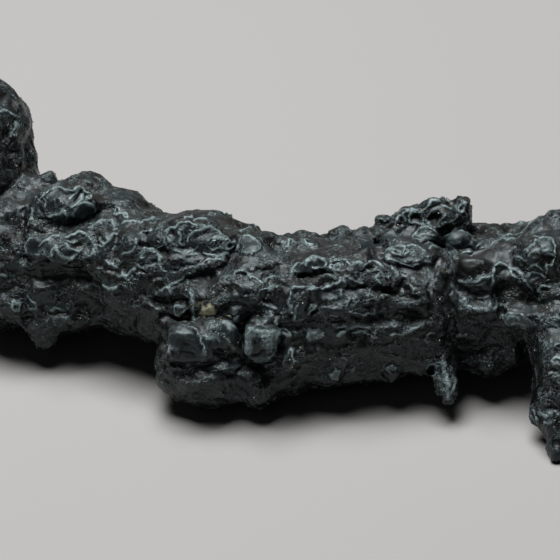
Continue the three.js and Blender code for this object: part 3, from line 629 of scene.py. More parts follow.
ridge(0.2, 0.3, [9, -3.4, 9.2, -2.8, 9.8, -2.4])
swell(-0.5, 11.1, -3.4, 0.8, 0.35)
ridge(0.25, 0.35, [8.2, -4, 9.6, -4.2, 11, -4.1, 12, -4.4])
swell(0.35, 12.6, -3.5, 0.5, 1)
groove(0.4, 0.35, [12.2, -1.6, 12.5, -2.4, 12.2, -3.2])
groove(1.1, 0.5, [11.5, -0.95, 12.6, -1.2, 13.8, -1.5, 15, -1.8, 16.4, -2.2, 17.3, -2.6])
swell(-0.6, 13.6, -1.4, 1.3, 0.45)
groove(0.7, 0.35, [14.9, -0.7, 15.6, 0, 16.4, -0.6, 17, -0.9])
swell(0.35, 15, -3, 2.2, 0.9)
swell(0.3, 15.4, -0.6, 0.7, 0.4)

# the undercut below the long plate, and the thin ridges under it
groove(0.4, 0.6, [0.4, -5.4, 1.8, -5.8, 3.6, -5.9, 5.2, -5.7, 6.6, -5.2, 8, -4.7, 10, -4.7])
groove(0.5, 0.6, [8.6, -4.7, 10.6, -4.8, 12.8, -4.9, 15, -5.2, 17, -5.7])
ring(0.3, 0.4, 0.6, -6.5, 0.7, 0.45)
swell(0.3, 2, -6.5, 0.6, 0.4)
plate(0.35, 0, [3.2, -6.8, 4.2, -6.3, 5, -6.3, 5.6, -6.7, 4.8, -7.4, 3.6, -7.6], flat=0.3, painted_highlight_inside=0.7)
ridge(0.35, 0.6, [6.6, -7, 7.3, -6.8, 8, -6.2, 8.8, -5.8, 10, -5.7, 11.2, -5.9])
ridge(0.3, 0.35, [7, -5.9, 7.8, -5.5, 8.6, -5.6])
ridge(0.3, 0.35, [9, -6.5, 10, -6.4, 11, -6.5])
ridge(0.3, 0.4, [13.2, -6.8, 14.2, -6.8, 15.2, -6.5, 16.2, -6.4, 17.4, -5.6])

# teeth and facets on the underside
plate(0.4, 0.1, [0.4, -9.3, 1, -9.1, 1.7, -8.2, 1.7, -9.6, 1.4, -10.9, 0.6, -11, 0.3, -10.2])
swell(0.3, 2.4, -11, 0.6, 0.45)
swell(0.2, 0.5, -11.6, 0.5, 0.4)
plate(0.35, 0.05, [
    6.1, -11.8, 7, -11.3, 7.6, -10.9, 7.4, -11.9, 7.1, -12.4, 6.3, -12.3,
], flat=0.3, painted_highlight_inside=0.7)
plate(0.35, 0.05, [
    13.2, -11.3, 13.5, -10.5, 14.3, -10.3, 14.5, -11.2, 14.1, -11.9,
], flat=0.3, painted_highlight_inside=0.7)
plate(0.25, 0, [12.6, -10.9, 13, -10.5, 13.2, -11, 12.9, -11.3], flat=0.3, painted_highlight_inside=0.6)
plate(0.2, 0, [8.6, -11.2, 8.8, -10.5, 9.2, -10.8, 9, -11.6], flat=0.3, painted_highlight_inside=0.6)
swell(-0.6, 19.5, -14.6, 0.8, 1.3)
swell(-0.5, 22.3, -14.8, 0.8, 1.1)
ridge(0.4, 0.7, [20.3, -9.9, 20.4, -11, 20.6, -12.4, 20.8, -13.8, 20.9, -15])
ridge(0.25, 0.4, [21.3, -11.4, 21.7, -12.4, 21.4, -13.6, 21, -14.8])
plate(0.35, 0, [17.8, -11.2, 18.4, -10.5, 19.4, -10.4, 19.6, -11.2, 18.8, -11.9], flat=0.3, painted_highlight_inside=0.55)
swell(0.25, 20, -6.7, 0.7, 0.4)
swell(0.2, 25.6, -11.6, 0.7, 0.6)

# the layered block
plate(0.45, 0.1, [
    13, 3, 13.6, 3.8, 14.7, 4.3, 16.2, 4.2, 17.8, 3.8, 18.8, 3, 18.6, 2, 16.6, 1.8, 14, 2, 12.6, 2.4,
], smooth=0.3, painted_highlight_inside=0.45, edge=0.45)
ridge(0.35, 0.3, [13.2, 3.3, 13.8, 3.9, 14.8, 4.2, 15.5, 3.8, 15.2, 3.2])
ring(0.25, 0.3, 14.5, 3.4, 0.6, 0.25)
ridge(0.25, 0.3, [15.4, 3.9, 16.2, 4.1, 17.2, 3.9, 18, 3.4])
ring(0.2, 0.25, 15.7, 3.4, 0.3, 0.2)
ridge(0.25, 0.3, [12.8, 2.6, 13.8, 2.4, 14.8, 2.1, 16, 1.9, 17.6, 1.9])
groove(0.25, 0.25, [13.6, 2.9, 14.8, 2.7, 16, 2.9, 17.2, 2.7])
ridge(0.2, 0.3, [15.4, 2.5, 16.4, 2.3, 17.4, 2.4])
groove(0.3, 0.3, [15.8, 2.2, 16.4, 2.15])
plate(0.4, 0.05, [16.4, 5, 16.8, 5.8, 17.5, 6.5, 18.6, 6.5, 19.5, 6, 19.9, 5.3, 19, 4.8, 17.6, 4.9])
ridge(0.25, 0.35, [16.9, 5.7, 17.4, 6.4, 18.2, 6.6, 19, 6.2])
ridge(0.15, 0.25, [17.2, 5.5, 18.2, 5.6, 19.2, 5.5])
ridge(0.25, 0.3, [17.8, 4.5, 18.8, 4.6, 19.8, 4.4])
ridge(0.2, 0.3, [18.4, 4, 19.2, 4.2, 19.9, 3.9])
groove(0.3, 0.3, [17.4, 4.7, 18.6, 4.75, 19.8, 4.7])

# the crest, over a shallow undercut
swell(1.7, 22.2, 5, 2.6, 1.2)
swell(0.8, 20.4, 5, 1.2, 0.9)
swell(0.4, 12.8, 7.5, 0.6, 0.5)
swell(-0.8, 13.3, 6.8, 1, 0.6)
groove(0.5, 0.35, [15.1, 7.9, 15.1, 7.2, 15.2, 6.8])
ridge(0.25, 0.35, [14.5, 7.4, 14.7, 8, 15.3, 8.3, 15.6, 7.4])
ring(0.35, 0.3, 17, 7.6, 1, 0.7)
swell(-0.6, 17, 7.8, 0.8, 0.5)
ridge(0.3, 0.4, [15.8, 8.4, 16.6, 8.8, 17.4, 8.6])
ridge(0.3, 0.4, [17.6, 8.4, 18.3, 9.2, 19.2, 9.8, 20.2, 9.7])
ridge(0.25, 0.35, [20, 9.4, 20.8, 9.1, 21.6, 9.1])
swell(-1.1, 19.3, 7.7, 0.9, 0.9)
swell(0.4, 20.9, 8, 1.1, 0.8)
ridge(0.3, 0.35, [20.1, 7, 21, 7.2, 21.9, 7.8, 22, 8.6])
swell(-0.7, 21.4, 10.1, 0.8, 0.8)
swell(-0.7, 24.3, 10, 0.8, 0.9)
ring(0.35, 0.35, 22.8, 8.9, 0.35, 0.55)
swell(-0.2, 22.8, 7.2, 1, 0.8)
groove(0.6, 0.4, [19.8, 6.3, 21, 6.3, 22, 6.7, 23, 7])

# the neck, with the drop hanging in it
groove(0.6, 0.5, [19.6, 3.4, 19.4, 1.8, 18.8, 0.4, 18.3, -1, 18.5, -2.4, 18.8, -4])
groove(0.7, 0.5, [21.2, 0.4, 21.3, -1.2, 21.1, -2.6, 21.3, -4.2, 21.7, -6.2])
swell(0.45, 19.8, -0.9, 0.7, 1)
swell(0.3, 18.4, 1.5, 0.5, 1.2)
plate(0.45, 0, [
    20.2, 1.9, 20.5, 2.8, 21.2, 3.5, 21.7, 4, 22.2, 3.6, 22, 2.8, 21.2, 2.3, 20.7, 1.4,
], flat=0, smooth=0.8, painted_highlight_inside=0.6, edge=0.6)
plate(0.25, 0, [23.5, 4.1, 23.9, 4.7, 24.9, 4.95, 25.6, 4.6, 24.8, 4.3, 24.2, 3.9], flat=0, edge=0.4)
ridge(0.25, 0.3, [20.6, 4.4, 21.4, 4.2, 22.4, 4.4])
ridge(0.2, 0.3, [21, 5, 21.8, 5.2, 22.8, 5.1])
ridge(0.2, 0.3, [22.6, 3.3, 23.2, 3.5, 23.8, 3.3])
groove(0.3, 0.3, [22.4, 3, 23.2, 2.9, 24, 2.9])
swell(0.3, 20.4, 0.9, 0.5, 0.7)

# the smooth block, with the bright line along its front edge, and its shelf
plate(0.1, 0, [
    21.8, 0.6, 21.7, 2.4, 22.6, 3.4, 24, 4, 25.6, 4.2, 27, 3.8, 28.4, 4, 29, 3, 28.4, 2, 27, 2.4,
    26.2, 1.4, 25.8, 0.5, 24, 0.3,
], flat=0, smooth=0.75, painted_highlight_inside=0.15, edge=0)
plate(0.1, 0, [
    22, 0, 23.8, 0.3, 26, 0.5, 26.3, -0.6, 26.1, -1.5, 24, -1.7, 22.2, -1.6,
], flat=0.2, smooth=0.8, painted_highlight_inside=0.25, edge=0)
ridge(0.7, 0.45, [22.2, -0.1, 23.2, 0, 24.2, 0.1, 25.2, 0.2, 26, 0.4])
ridge(0.3, 0.35, [26.1, 0.9, 26.2, 0, 26, -0.8])
ridge(0.1, 0.3, [22.9, -0.6, 24, -0.55, 25.4, -0.4])
groove(0.4, 0.4, [22.1, -1.7, 23.6, -1.8, 24.8, -1.7, 26, -1.5])
ridge(0.25, 0.4, [26.5, -1.8, 26.8, -2.4, 26.7, -3.1, 26.2, -3.7])
ridge(0.15, 0.4, [22.2, -2.1, 22.6, -2.8, 23.8, -3.5, 25, -3.8, 26, -3.7])
ridge(0.15, 0.35, [22.6, -2.1, 23, -2.6, 23.4, -3])
swell(-0.35, 24.6, -2.7, 1.7, 0.7)
swell(0.12, 25.2, 2.5, 0.35, 0.8)
swell(0.12, 26.8, 3, 0.35, 0.8)
swell(0.08, 23.6, 1.5, 1, 0.3)
groove(0.8, 0.8, [22.2, -4.4, 24, -4.9, 26.4, -4.8, 27.2, -4])

# the hood and the dark hollow under it
ridge(0.5, 0.4, [
    26.2, 0.8, 26.6, 1.6, 27.1, 2.1, 27.8, 1.7, 28.6, 1.4, 29.2, 1.4, 29.8, 0.9, 30.3, 0.1,
])
ridge(0.3, 0.35, [28.5, 1.3, 28.7, 0.7, 29.4, 0.2])
swell(-0.6, 27.4, 1, 0.9, 0.5)
pack(0.85, [26.7, -0.1, 29.8, -0.2, 30.6, -1.2, 31.2, -2.4, 30.4, -3.5, 28, -3.6, 26.8, -2.4])
plate(-0.3, 0, [
    27, -0.3, 29.8, -0.4, 30.6, -1.2, 31, -2.4, 30, -3.4, 28, -3.4, 27, -2.4,
], flat=0, smooth=0.6, painted_highlight_inside=0, edge=0)
groove(0.5, 0.5, [29.8, -2.2, 30.8, -2.8, 32.2, -2.8, 33.6, -2.6, 35, -2.3])
ridge(0.3, 0.4, [31.9, -1.5, 32.2, -1, 32.9, -0.8, 33.4, -1.1])
swell(-0.5, 32.9, -1.3, 0.6, 0.35)
ridge(0.25, 0.35, [30.2, 0.2, 30.8, -0.4, 31.4, -1.4])

# the right plate, with the rims round it
ridge(0.3, 0.25, [26.2, 4.2, 26.9, 5, 27.8, 5.5, 28.9, 5.6, 29.8, 6, 30.8, 6.8, 31.8, 7.4])
ridge(0.25, 0.35, [28, 4.8, 28.6, 5.1, 29.3, 5])
plate(0.3, 0, [32, 4.3, 32.4, 4.9, 33.2, 4.9, 33.7, 4.2, 33.6, 3.6, 32.8, 3.4, 32.2, 3.7], painted_highlight_inside=0.6)
plate(0.2, 0.1, [30.8, 3.4, 31.2, 3.9, 31.8, 3.9, 32, 3.2, 31.4, 2.7, 30.9, 2.8])
ridge(0.35, 0.3, [30.3, 3.4, 30.5, 3.9, 31, 4.3, 31.6, 4.6, 31.9, 4.9])
ridge(0.35, 0.35, [32, 4.9, 32.6, 5.2, 33.3, 5.35, 33.9, 5.2, 34, 4.4, 34, 3.6, 33.9, 3])
ridge(0.25, 0.3, [32.5, 3.3, 33.2, 3.1, 33.9, 2.9, 33.8, 2.2, 33.4, 1.6])
ridge(0.25, 0.35, [29.1, 3, 29.7, 2.8, 30.2, 2.5, 30.8, 2.3])
swell(0.25, 29.5, 3.5, 0.5, 0.5)
ridge(0.25, 0.35, [30.6, 1.3, 31.3, 1.8, 32.1, 1.7, 32.7, 1.2])
ridge(0.25, 0.35, [30.5, 0.6, 31.3, 0.9, 32.2, 0.7, 32.8, 0.2])
ridge(0.25, 0.35, [33, 2.2, 33.1, 1.4, 32.8, 0.8])
swell(0.3, 32.6, 7.6, 0.5, 1.1)
swell(0.3, 34.4, 8.3, 0.9, 0.4)

# the ledge, the foot and its tip at the right
plate(0.4, 0.1, [
    27.5, -4.2, 28.6, -4, 30, -4.2, 31, -4.8, 31.7, -5.4, 30.8, -5.8, 29.2, -5.8, 28, -5.3,
], smooth=0.2, painted_highlight_inside=0.6)
plate(0.35, 0.1, [32.8, -4.8, 33.6, -4.4, 34.8, -4.6, 35.6, -5.2, 34.6, -5.7, 33.2, -5.5])
ridge(0.25, 0.35, [28.2, -4.7, 29, -4.5, 29.8, -4.8])
ridge(0.25, 0.35, [28.7, -5.3, 29.6, -5.2, 30.5, -5.4])
ridge(0.25, 0.35, [27.4, -4.1, 27.8, -4.8])
plate(0.4, 0.1, [33.6, -8.2, 34.4, -7.8, 36, -7.8, 36.2, -8.8, 34.6, -8.8])
ridge(0.35, 0.4, [33.4, -10.3, 33.6, -9.5, 34.1, -9.4, 34.6, -9.9, 34.4, -10.5])
plate(0.35, 0.05, [33.2, -11.8, 34.4, -11.7, 36, -12, 36, -13, 34.4, -13, 33.4, -12.5])
swell(-0.5, 33.6, -11.2, 0.8, 0.35)
swell(0.3, 34.8, -14.8, 0.9, 0.6)
ridge(0.35, 0.45, [31.9, -16, 32.4, -16.4, 33, -16.9])
ridge(0.3, 0.4, [32.4, -17.2, 32.9, -17.5, 33.4, -17.4])
ridge(0.3, 0.35, [31.3, -15.8, 31.4, -16.8, 31.8, -17.8])
swell(0.3, 33.9, -21, 0.5, 0.9)
swell(-0.4, 33.4, -15.8, 0.9, 0.5)

# pale earth in the hollows round the ball
lodged(1, -8.9, -3.8, 0.85, 0.55)
lodged(0.35, -6.6, -4.2, 0.4, 0.4)
lodged(0.4, -12.6, -4, 0.6, 0.15)
lodged(0.4, -11.9, -4.5, 0.35, 0.15)
lodged(0.35, -4.7, -5.3, 0.15, 0.4)
lodged(0.4, -5.8, -8.4, 0.15, 0.3)
lodged(0.25, -10, -2.9, 0.5, 0.15)

LEAN_OF_GROWTH = 0.12  # how far the growth droops for each millimetre that it stands out
skin_places[on_face, 2] += (level - skin_places[on_face, 2]) * looks_out
skin_places[on_face] += skin_faces[on_face] * (growth * looks_out)[:, None]
skin_places[on_face, 1] -= LEAN_OF_GROWTH * growth * looks_out
place(rounded, skin_places)
for name, amount in (("calm", calm), ("painted_highlight", painted_highlight), ("earth", earth), ("drawn", 1)):
    all_over = np.zeros(len(skin_places))
    all_over[on_face] = amount * looks_out
    record_on(rounded, name, all_over)


class Nodes:
    """Adds nodes to one tree. What a node is fed is a number, a vector or another node's output."""

    MIDDLE = (0.5, 0.5, 0.5)  # the middle value of a noise or a cell colour

    def __init__(self, tree):
        self.tree = tree

    def add(self, kind, fed=None, **settings):
        made = self.tree.nodes.new(kind)
        for name, value in settings.items():
            setattr(made, name, value)
        for key, value in (fed or {}).items():
            if isinstance(value, bpy.types.NodeSocket):
                self.tree.links.new(value, made.inputs[key])
            else:
                made.inputs[key].default_value = value
        return made

    def recorded(self, name):
        """The number that the mesh keeps under that name."""
        if self.tree.type == "SHADER":
            return self.add("ShaderNodeAttribute", attribute_name=name).outputs["Fac"]
        return self.add("GeometryNodeInputNamedAttribute", {"Name": name}, data_type="FLOAT").outputs[0]

    def maths(self, operation, first, *others):
        for other in others or (0.0,):
            first = self.add("ShaderNodeMath", {0: first, 1: other}, operation=operation).outputs[0]
        return first

    def plus(self, *terms):
        return self.maths("ADD", *terms)

    def minus(self, first, second):
        return self.maths("SUBTRACT", first, second)

    def times(self, *factors):
        return self.maths("MULTIPLY", *factors)

    def greater(self, first, second):
        return self.maths("MAXIMUM", first, second)

    def left_by(self, share):
        """What the share leaves of the whole."""
        return self.maths("SUBTRACT", 1.0, share)

    def vectors(self, operation, first, second):
        return self.add("ShaderNodeVectorMath", {0: first, 1: second}, operation=operation).outputs[0]

    def dot(self, first, second):
        fed = {0: first, 1: second}
        return self.add("ShaderNodeVectorMath", fed, operation="DOT_PRODUCT").outputs["Value"]

    def scaled(self, vector, factor):
        return self.add("ShaderNodeVectorMath", {0: vector, "Scale": factor}, operation="SCALE").outputs[0]

    def alike(self, number):
        """The vector that has the number on all three axes."""
        return self.add("ShaderNodeCombineXYZ", {0: number, 1: number, 2: number}).outputs[0]

    def mixed(self, share, first, second):
        """The two colours mixed, with that share of the second."""
        return self.add("ShaderNodeMix", {0: share, 6: first, 7: second}, data_type="RGBA").outputs[2]

    def ramp(self, value, low, high, start=0.0, end=1.0):
        fed = {"Value": value, "From Min": low, "From Max": high, "To Min": start, "To Max": end}
        return self.add("ShaderNodeMapRange", fed, interpolation_type="SMOOTHSTEP").outputs[0]

    def noise(self, where, spacing, detail=2.0):
        fed = {"Vector": where, "Scale": self.maths("DIVIDE", 1.0, spacing), "Detail": detail}
        return self.add("ShaderNodeTexNoise", fed, noise_dimensions="3D").outputs

    def patches(self, where, spacing, low, high, start=0.0, end=1.0, detail=2.0):
        """Soft-edged patches of that spacing, from start outside them to end inside them."""
        return self.ramp(self.noise(where, spacing, detail)["Fac"], low, high, start, end)

    def cells(self, where, size, feature="F1"):
        fed = {"Vector": where, "Scale": self.maths("DIVIDE", 1.0, size)}
        return self.add("ShaderNodeTexVoronoi", fed, voronoi_dimensions="3D", feature=feature).outputs

    def wavering(self, where, spacing, reach):
        """The place, moved about by a noise of that spacing by up to that reach."""
        swing = self.vectors("SUBTRACT", self.noise(where, spacing)["Color"], self.MIDDLE)
        return self.vectors("ADD", where, self.scaled(swing, 2 * reach))

    def creases(self, where, spacing, sharpness):
        """A net of fine lines: 1 on a line, falling to 0 between them."""
        level = self.minus(self.noise(where, spacing, 1.0)["Fac"], 0.5)
        away = self.times(self.maths("ABSOLUTE", level), sharpness)
        return self.maths("POWER", self.greater(self.left_by(away), 0.0), CONCAVE)


def geometry_tree(name, taken, sizes):
    """A tree that takes a geometry, named sizes and a finish. Gives what it is given, and its nodes."""
    tree = bpy.data.node_groups.new(name, "GeometryNodeTree")
    tree.interface.new_socket("Finished", in_out="OUTPUT", socket_type="NodeSocketGeometry")
    tree.interface.new_socket(taken, in_out="INPUT", socket_type="NodeSocketGeometry")
    for asked, size in sizes.items():
        kind = "NodeSocketInt" if isinstance(size, int) else "NodeSocketFloat"
        tree.interface.new_socket(asked, in_out="INPUT", socket_type=kind).default_value = size
    tree.interface.new_socket("Finish", in_out="INPUT", socket_type="NodeSocketMaterial")
    return tree.nodes.new("NodeGroupInput").outputs, Nodes(tree)


def closed_off(lay, given, made):
    """Ends the tree with what was made as one plain mesh, in the finish it was given."""
    whole = lay.add("GeometryNodeRealizeInstances", {0: made.outputs[0]})
    fed = {"Geometry": whole.outputs[0], "Material": given["Finish"]}
    lay.add("NodeGroupOutput", {0: lay.add("GeometryNodeSetMaterial", fed).outputs[0]})
    return lay.tree


def run_on(obj, tree, finish):
    """Runs the tree on the object, in that finish, and gives the plain mesh that comes of it."""
    modifier = obj.modifiers.new(tree.name, "NODES")
    modifier.node_group = tree
    modifier[tree.interface.items_tree["Finish"].identifier] = finish
    return settled(obj)


def crust_tree():
    """Raises the crust: dishes, tilted facets inside rims, wrinkles along the stem and pits."""
    given, lay = geometry_tree("crust_relief", "Stone", {
        "Dish size": 2.9,
        "Dish depth": 0.3,
        "Facet size": 1.7,
        "Facet tilt": 0.5,
        "Small facet size": 0.8,
        "Small facet tilt": 0.4,
        "Rim height": 0.2,
        "Rim half": 0.16,
        "Fold spacing": 1.9,
        "Fold height": 0.22,
        "Wrinkle spacing": 1.2,
        "Wrinkle height": 0.16,
        "Pit depth": 0.3,
        "Lean": 0.5,
        "Seed": 3.7,
    })
    outward = lay.add("GeometryNodeInputNormal").outputs[0]
    here = lay.add("GeometryNodeInputPosition").outputs[0]
    seeded = lay.vectors("ADD", here, lay.alike(given["Seed"]))
    bent_place = lay.wavering(lay.wavering(seeded, 3.0, 0.9), 1.0, 0.25)
    calm_here = lay.recorded("calm")
    drawn_here = lay.recorded("drawn")
    rest_of_crust = lay.left_by(lay.times(drawn_here, 0.75))

    # dishes, longer along the stem than across it
    along = lay.vectors("MULTIPLY", bent_place, (0.62, 1.0, 1.0))
    dish = lay.maths("POWER", lay.cells(along, given["Dish size"])["Distance"], 1.5)
    relief = lay.times(lay.minus(dish, 0.35), given["Dish depth"], rest_of_crust)

    def facets(size, tilt, half):
        """Flat facets, each tilted its own way. Gives their height, their rims and a number for each."""
        flakes = lay.vectors("MULTIPLY", bent_place, (0.75, 1.0, 1.0))
        cell = lay.cells(flakes, size)
        slope = lay.scaled(lay.vectors("SUBTRACT", cell["Color"], lay.MIDDLE), tilt)
        raised = lay.dot(slope, lay.vectors("SUBTRACT", flakes, cell["Position"]))
        border = lay.cells(flakes, size, "DISTANCE_TO_EDGE")["Distance"]
        rim = lay.left_by(lay.ramp(lay.times(border, size), 0.0, half))
        own = lay.add("ShaderNodeSeparateXYZ", {0: cell["Color"]}).outputs[0]
        return raised, rim, own

    # facets, large and small, with rims between some of them
    raised, rim, own = facets(given["Facet size"], given["Facet tilt"], given["Rim half"])
    relief = lay.plus(relief, lay.times(raised, rest_of_crust))
    rims = lay.times(rim, lay.patches(seeded, 3.4, 0.42, 0.56), rest_of_crust)
    small_raised, small_rim, small_own = facets(given["Small facet size"], given["Small facet tilt"], 0.12)
    where_small = lay.patches(seeded, 2.7, 0.4, 0.6, 0.3, 1.0)
    where_small = lay.times(where_small, lay.plus(0.2, lay.times(rest_of_crust, 0.4)))
    relief = lay.plus(relief, lay.times(small_raised, where_small))
    rims = lay.greater(rims, lay.times(small_rim, where_small, 0.5))
    relief = lay.plus(relief, lay.times(rims, given["Rim height"]))

    # folds that wander over the facets, wrinkles along the stem, and pits
    folds = lay.creases(along, given["Fold spacing"], 15.0)
    folds = lay.times(folds, lay.patches(seeded, 4.0, 0.4, 0.58), rest_of_crust)
    relief = lay.plus(relief, lay.times(folds, given["Fold height"]))
    strands = lay.vectors("MULTIPLY", bent_place, (0.28, 1.0, 1.0))
    wrinkles = lay.creases(strands, given["Wrinkle spacing"], 8.0)
    wrinkles = lay.times(wrinkles, given["Wrinkle height"], lay.patches(seeded, 5.0, 0.42, 0.6))
    wrinkles = lay.times(wrinkles, lay.plus(0.1, lay.times(rest_of_crust, 0.9)))
    relief = lay.plus(relief, wrinkles)
    holes = lay.patches(bent_place, 1.7, 0.64, 0.72, detail=1.0)
    relief = lay.minus(relief, lay.times(holes, given["Pit depth"], rest_of_crust))
    relief = lay.times(relief, lay.left_by(calm_here))

    # the painted highlight: a paler colour on the rims, the folds and some facets, dimmed as painted shade
    # where they face down
    on_rims = lay.times(lay.greater(rims, folds), 0.9)
    bright_facets = lay.times(lay.ramp(lay.plus(own, small_own), 0.9, 1.3), 0.4)
    on_rims = lay.times(lay.greater(on_rims, bright_facets), lay.left_by(calm_here))
    on_rims = lay.times(on_rims, lay.ramp(lay.dot(outward, UP_ON_FACE), -0.4, 0.2, 0.2, 1.0))
    all_painted_highlight = lay.greater(lay.recorded("painted_highlight"), on_rims)

    # the crust is raised, and droops a little down the face as it rises
    droop = lay.add("ShaderNodeCombineXYZ", {1: -1.0}).outputs[0]
    leaned = lay.scaled(droop, lay.times(relief, given["Lean"], drawn_here))
    offset = lay.vectors("ADD", lay.scaled(outward, relief), leaned)
    moved = lay.add("GeometryNodeSetPosition", {"Geometry": given["Stone"], "Offset": offset})
    fed = {"Geometry": moved.outputs[0], "Name": "painted_highlight", "Value": all_painted_highlight}
    marked = lay.add("GeometryNodeStoreNamedAttribute", fed, data_type="FLOAT", domain="POINT")
    return closed_off(lay, given, marked)


BARE_OXIDE = (0.0085, 0.0075, 0.007, 1)
BROWNER_OXIDE = (0.013, 0.0118, 0.011, 1)
# painted shade: a darker, browner colour for the hollows
HOLLOW_SHADE = (0.006, 0.0045, 0.0035, 1)
# painted reflection: a lighter, browner colour for faces that look up
PAINTED_TOP_REFLECTION = (0.023, 0.0208, 0.0187, 1)
# painted light: a sheen colour and a bright rim colour that stand in for highlights
PAINTED_SHEEN = (0.024, 0.03, 0.032, 1)
PAINTED_RIM_HIGHLIGHT = (0.22, 0.275, 0.28, 1)
PALE_EARTH = (0.78, 0.76, 0.56, 1)


def iron_oxide():
    """Wind-polished iron oxide: near black, with painted shade that makes it darker and browner in its
    hollows, a painted highlight that makes it paler and bluer on its rims, and a painted reflection that
    makes it lighter and browner where it faces up.
    """
    finish = bpy.data.materials.new("polished_iron_oxide")
    finish.use_nodes = True
    finish.node_tree.nodes.clear()
    lay = Nodes(finish.node_tree)
    here = lay.add("ShaderNodeTexCoord").outputs["Object"]
    painted_edge_glint, hollow, painted_highlight_here = lay.recorded("painted_edge_glint"), lay.recorded("hollow"), lay.recorded("painted_highlight")
    facing_up, facing_down, earthy = lay.recorded("facing_up"), lay.recorded("facing_down"), lay.recorded("earth")

    # two nets of rims: a hair-fine one, and a broad one where no listed growth was laid
    rest = lay.left_by(lay.ramp(lay.recorded("calm"), 0.2, 0.9, 0.0, 0.93))
    # less net and grain where the skin faces down: less relief in the bump, and painted shade in the pale
    # rim colour
    rest = lay.times(rest, lay.ramp(facing_down, 0.0, 1.0, 1.0, 0.2))
    bent_place = lay.wavering(here, 1.1 * MM, 0.3 * MM)
    net = lay.greater(lay.creases(bent_place, 0.9 * MM, 19.0), lay.creases(bent_place, 0.5 * MM, 20.0))
    net = lay.times(net, lay.patches(here, 2.6 * MM, 0.43, 0.6, 0.1, 1.0), rest)
    broad_net = lay.creases(lay.wavering(here, 2.5 * MM, 0.9 * MM), 2.4 * MM, 34.0)
    broad_net = lay.times(broad_net, lay.patches(here, 5 * MM, 0.4, 0.55, 0.1, 1.0))
    broad_net = lay.times(broad_net, lay.left_by(lay.recorded("drawn")))
    grain = lay.noise(here, 0.35 * MM, 3.0)["Fac"]

    colour = lay.mixed(lay.patches(here, 5 * MM, 0.35, 0.65, detail=3.0), BARE_OXIDE, BROWNER_OXIDE)
    # faces that look up are painted lighter and browner: painted reflection
    colour = lay.mixed(facing_up, colour, PAINTED_TOP_REFLECTION)
    # a painted sheen, paler and bluer, where some painted highlight is recorded
    colour = lay.mixed(lay.ramp(painted_highlight_here, 0.1, 0.5), colour, PAINTED_SHEEN)
    # painted highlights: a pale blue colour on the crests, the fine net, the convex edges and the broad
    # net
    rims = lay.plus(
        lay.times(lay.ramp(painted_highlight_here, 0.5, 0.9), lay.ramp(grain, 0.35, 0.6, 0.5, 1.0)),
        lay.times(net, lay.ramp(painted_highlight_here, 0.05, 0.4, 0.4, 1.1)),
        lay.times(painted_edge_glint, 0.6),
        # the broad net's pale colour fades where the skin faces down: painted shade
        lay.times(broad_net, lay.ramp(facing_down, 0.0, 1.0, 0.8, 0.15)),
    )
    colour = lay.mixed(lay.maths("MINIMUM", rims, 1.0), colour, PAINTED_RIM_HIGHLIGHT)
    # the hollows are painted darker and browner: painted shade
    colour = lay.mixed(hollow, colour, HOLLOW_SHADE)
    colour = lay.mixed(lay.times(earthy, lay.ramp(grain, 0.3, 0.6, 0.5, 1.0)), colour, PALE_EARTH)

    height = lay.plus(lay.times(grain, rest, 0.4), net, broad_net)
    bump = lay.add("ShaderNodeBump", {"Strength": 1.0, "Distance": 0.1 * MM, "Height": height})
    rough = lay.patches(here, 1.2 * MM, 0.3, 0.7, 0.2, 0.3)
    for there, rougher in ((hollow, 0.3), (facing_up, 0.22), (earthy, 0.5)):
        rough = lay.plus(rough, lay.times(there, rougher))
    shader = lay.add("ShaderNodeBsdfPrincipled", {
        "Base Color": colour,
        "Roughness": rough,
        "IOR": 1.55,
        "Specular Tint": (0.86, 0.97, 1.0, 1),
        "Normal": bump.outputs[0],
    })
    lay.add("ShaderNodeOutputMaterial", {0: shader.outputs[0]})
    return finish


crusted = run_on(stone, crust_tree(), iron_oxide())

# where the skin stands out, where it sinks and which way it faces: for the painted glints, painted shade
# and painted reflection in its colour, and for its roughness
edge_ends = np.empty(len(crusted.edges) * 2, np.int32)
crusted.edges.foreach_get("vertices", edge_ends)
edge_ends = edge_ends.reshape(-1, 2)
skin_places = coordinates(crusted)
skin_faces = directions(crusted)


def evened(points, edges, rounds):
    """The points after each has moved half way to its neighbours' middle, round after round."""
    first, second = edges[:, 0], edges[:, 1]
    count = np.bincount(first, minlength=len(points)) + np.bincount(second, minlength=len(points))
    points = points.astype(float)
    for _ in range(rounds):
        total = np.empty_like(points)
        for axis in range(3):
            total[:, axis] = np.bincount(first, points[second, axis], len(points))
            total[:, axis] += np.bincount(second, points[first, axis], len(points))
        points = 0.5 * points + 0.5 * total / count[:, None]
    return points


FINE_ROUNDS = 4
BROAD_ROUNDS = 24


def standing_out(rounds):
    """How far each point stands out of the skin evened that many times, in millimetres."""
    return ((skin_places - evened(skin_places, edge_ends, rounds)) * skin_faces).sum(axis=1)


upward = skin_faces @ np.array(UP_ON_FACE)
for name, values, low, high in (
    # convex points: painted glints on the edges
    ("painted_edge_glint", standing_out(FINE_ROUNDS), 0.01, 0.07),
    # sunken points: painted shade in the hollows, and rougher
    ("hollow", -standing_out(BROAD_ROUNDS), 0.02, 0.3),
    # points that face up: a painted reflection in the colour, and rougher
    ("facing_up", upward, 0.55, 0.95),
    # points that face down: painted shade on the underside
    ("facing_down", -upward, -0.15, 0.45),
):
    record_on(crusted, name, smoothstep(values, low, high))

# the skin brought down to its last triangles, first where the growth doesn't show, then on the face
MOST_CORNERS = 99000
FACE_CORNERS = 76000


def on_shown_face(mesh):
    """Which points of the mesh lie on the part of the face that the camera takes in."""
    shown = np.abs(coordinates(mesh)[:, 0]) < SHOWN_WIDTH / MM / 2
    return shown & (directions(mesh)[:, 2] > TURNED_SIDEWAYS)


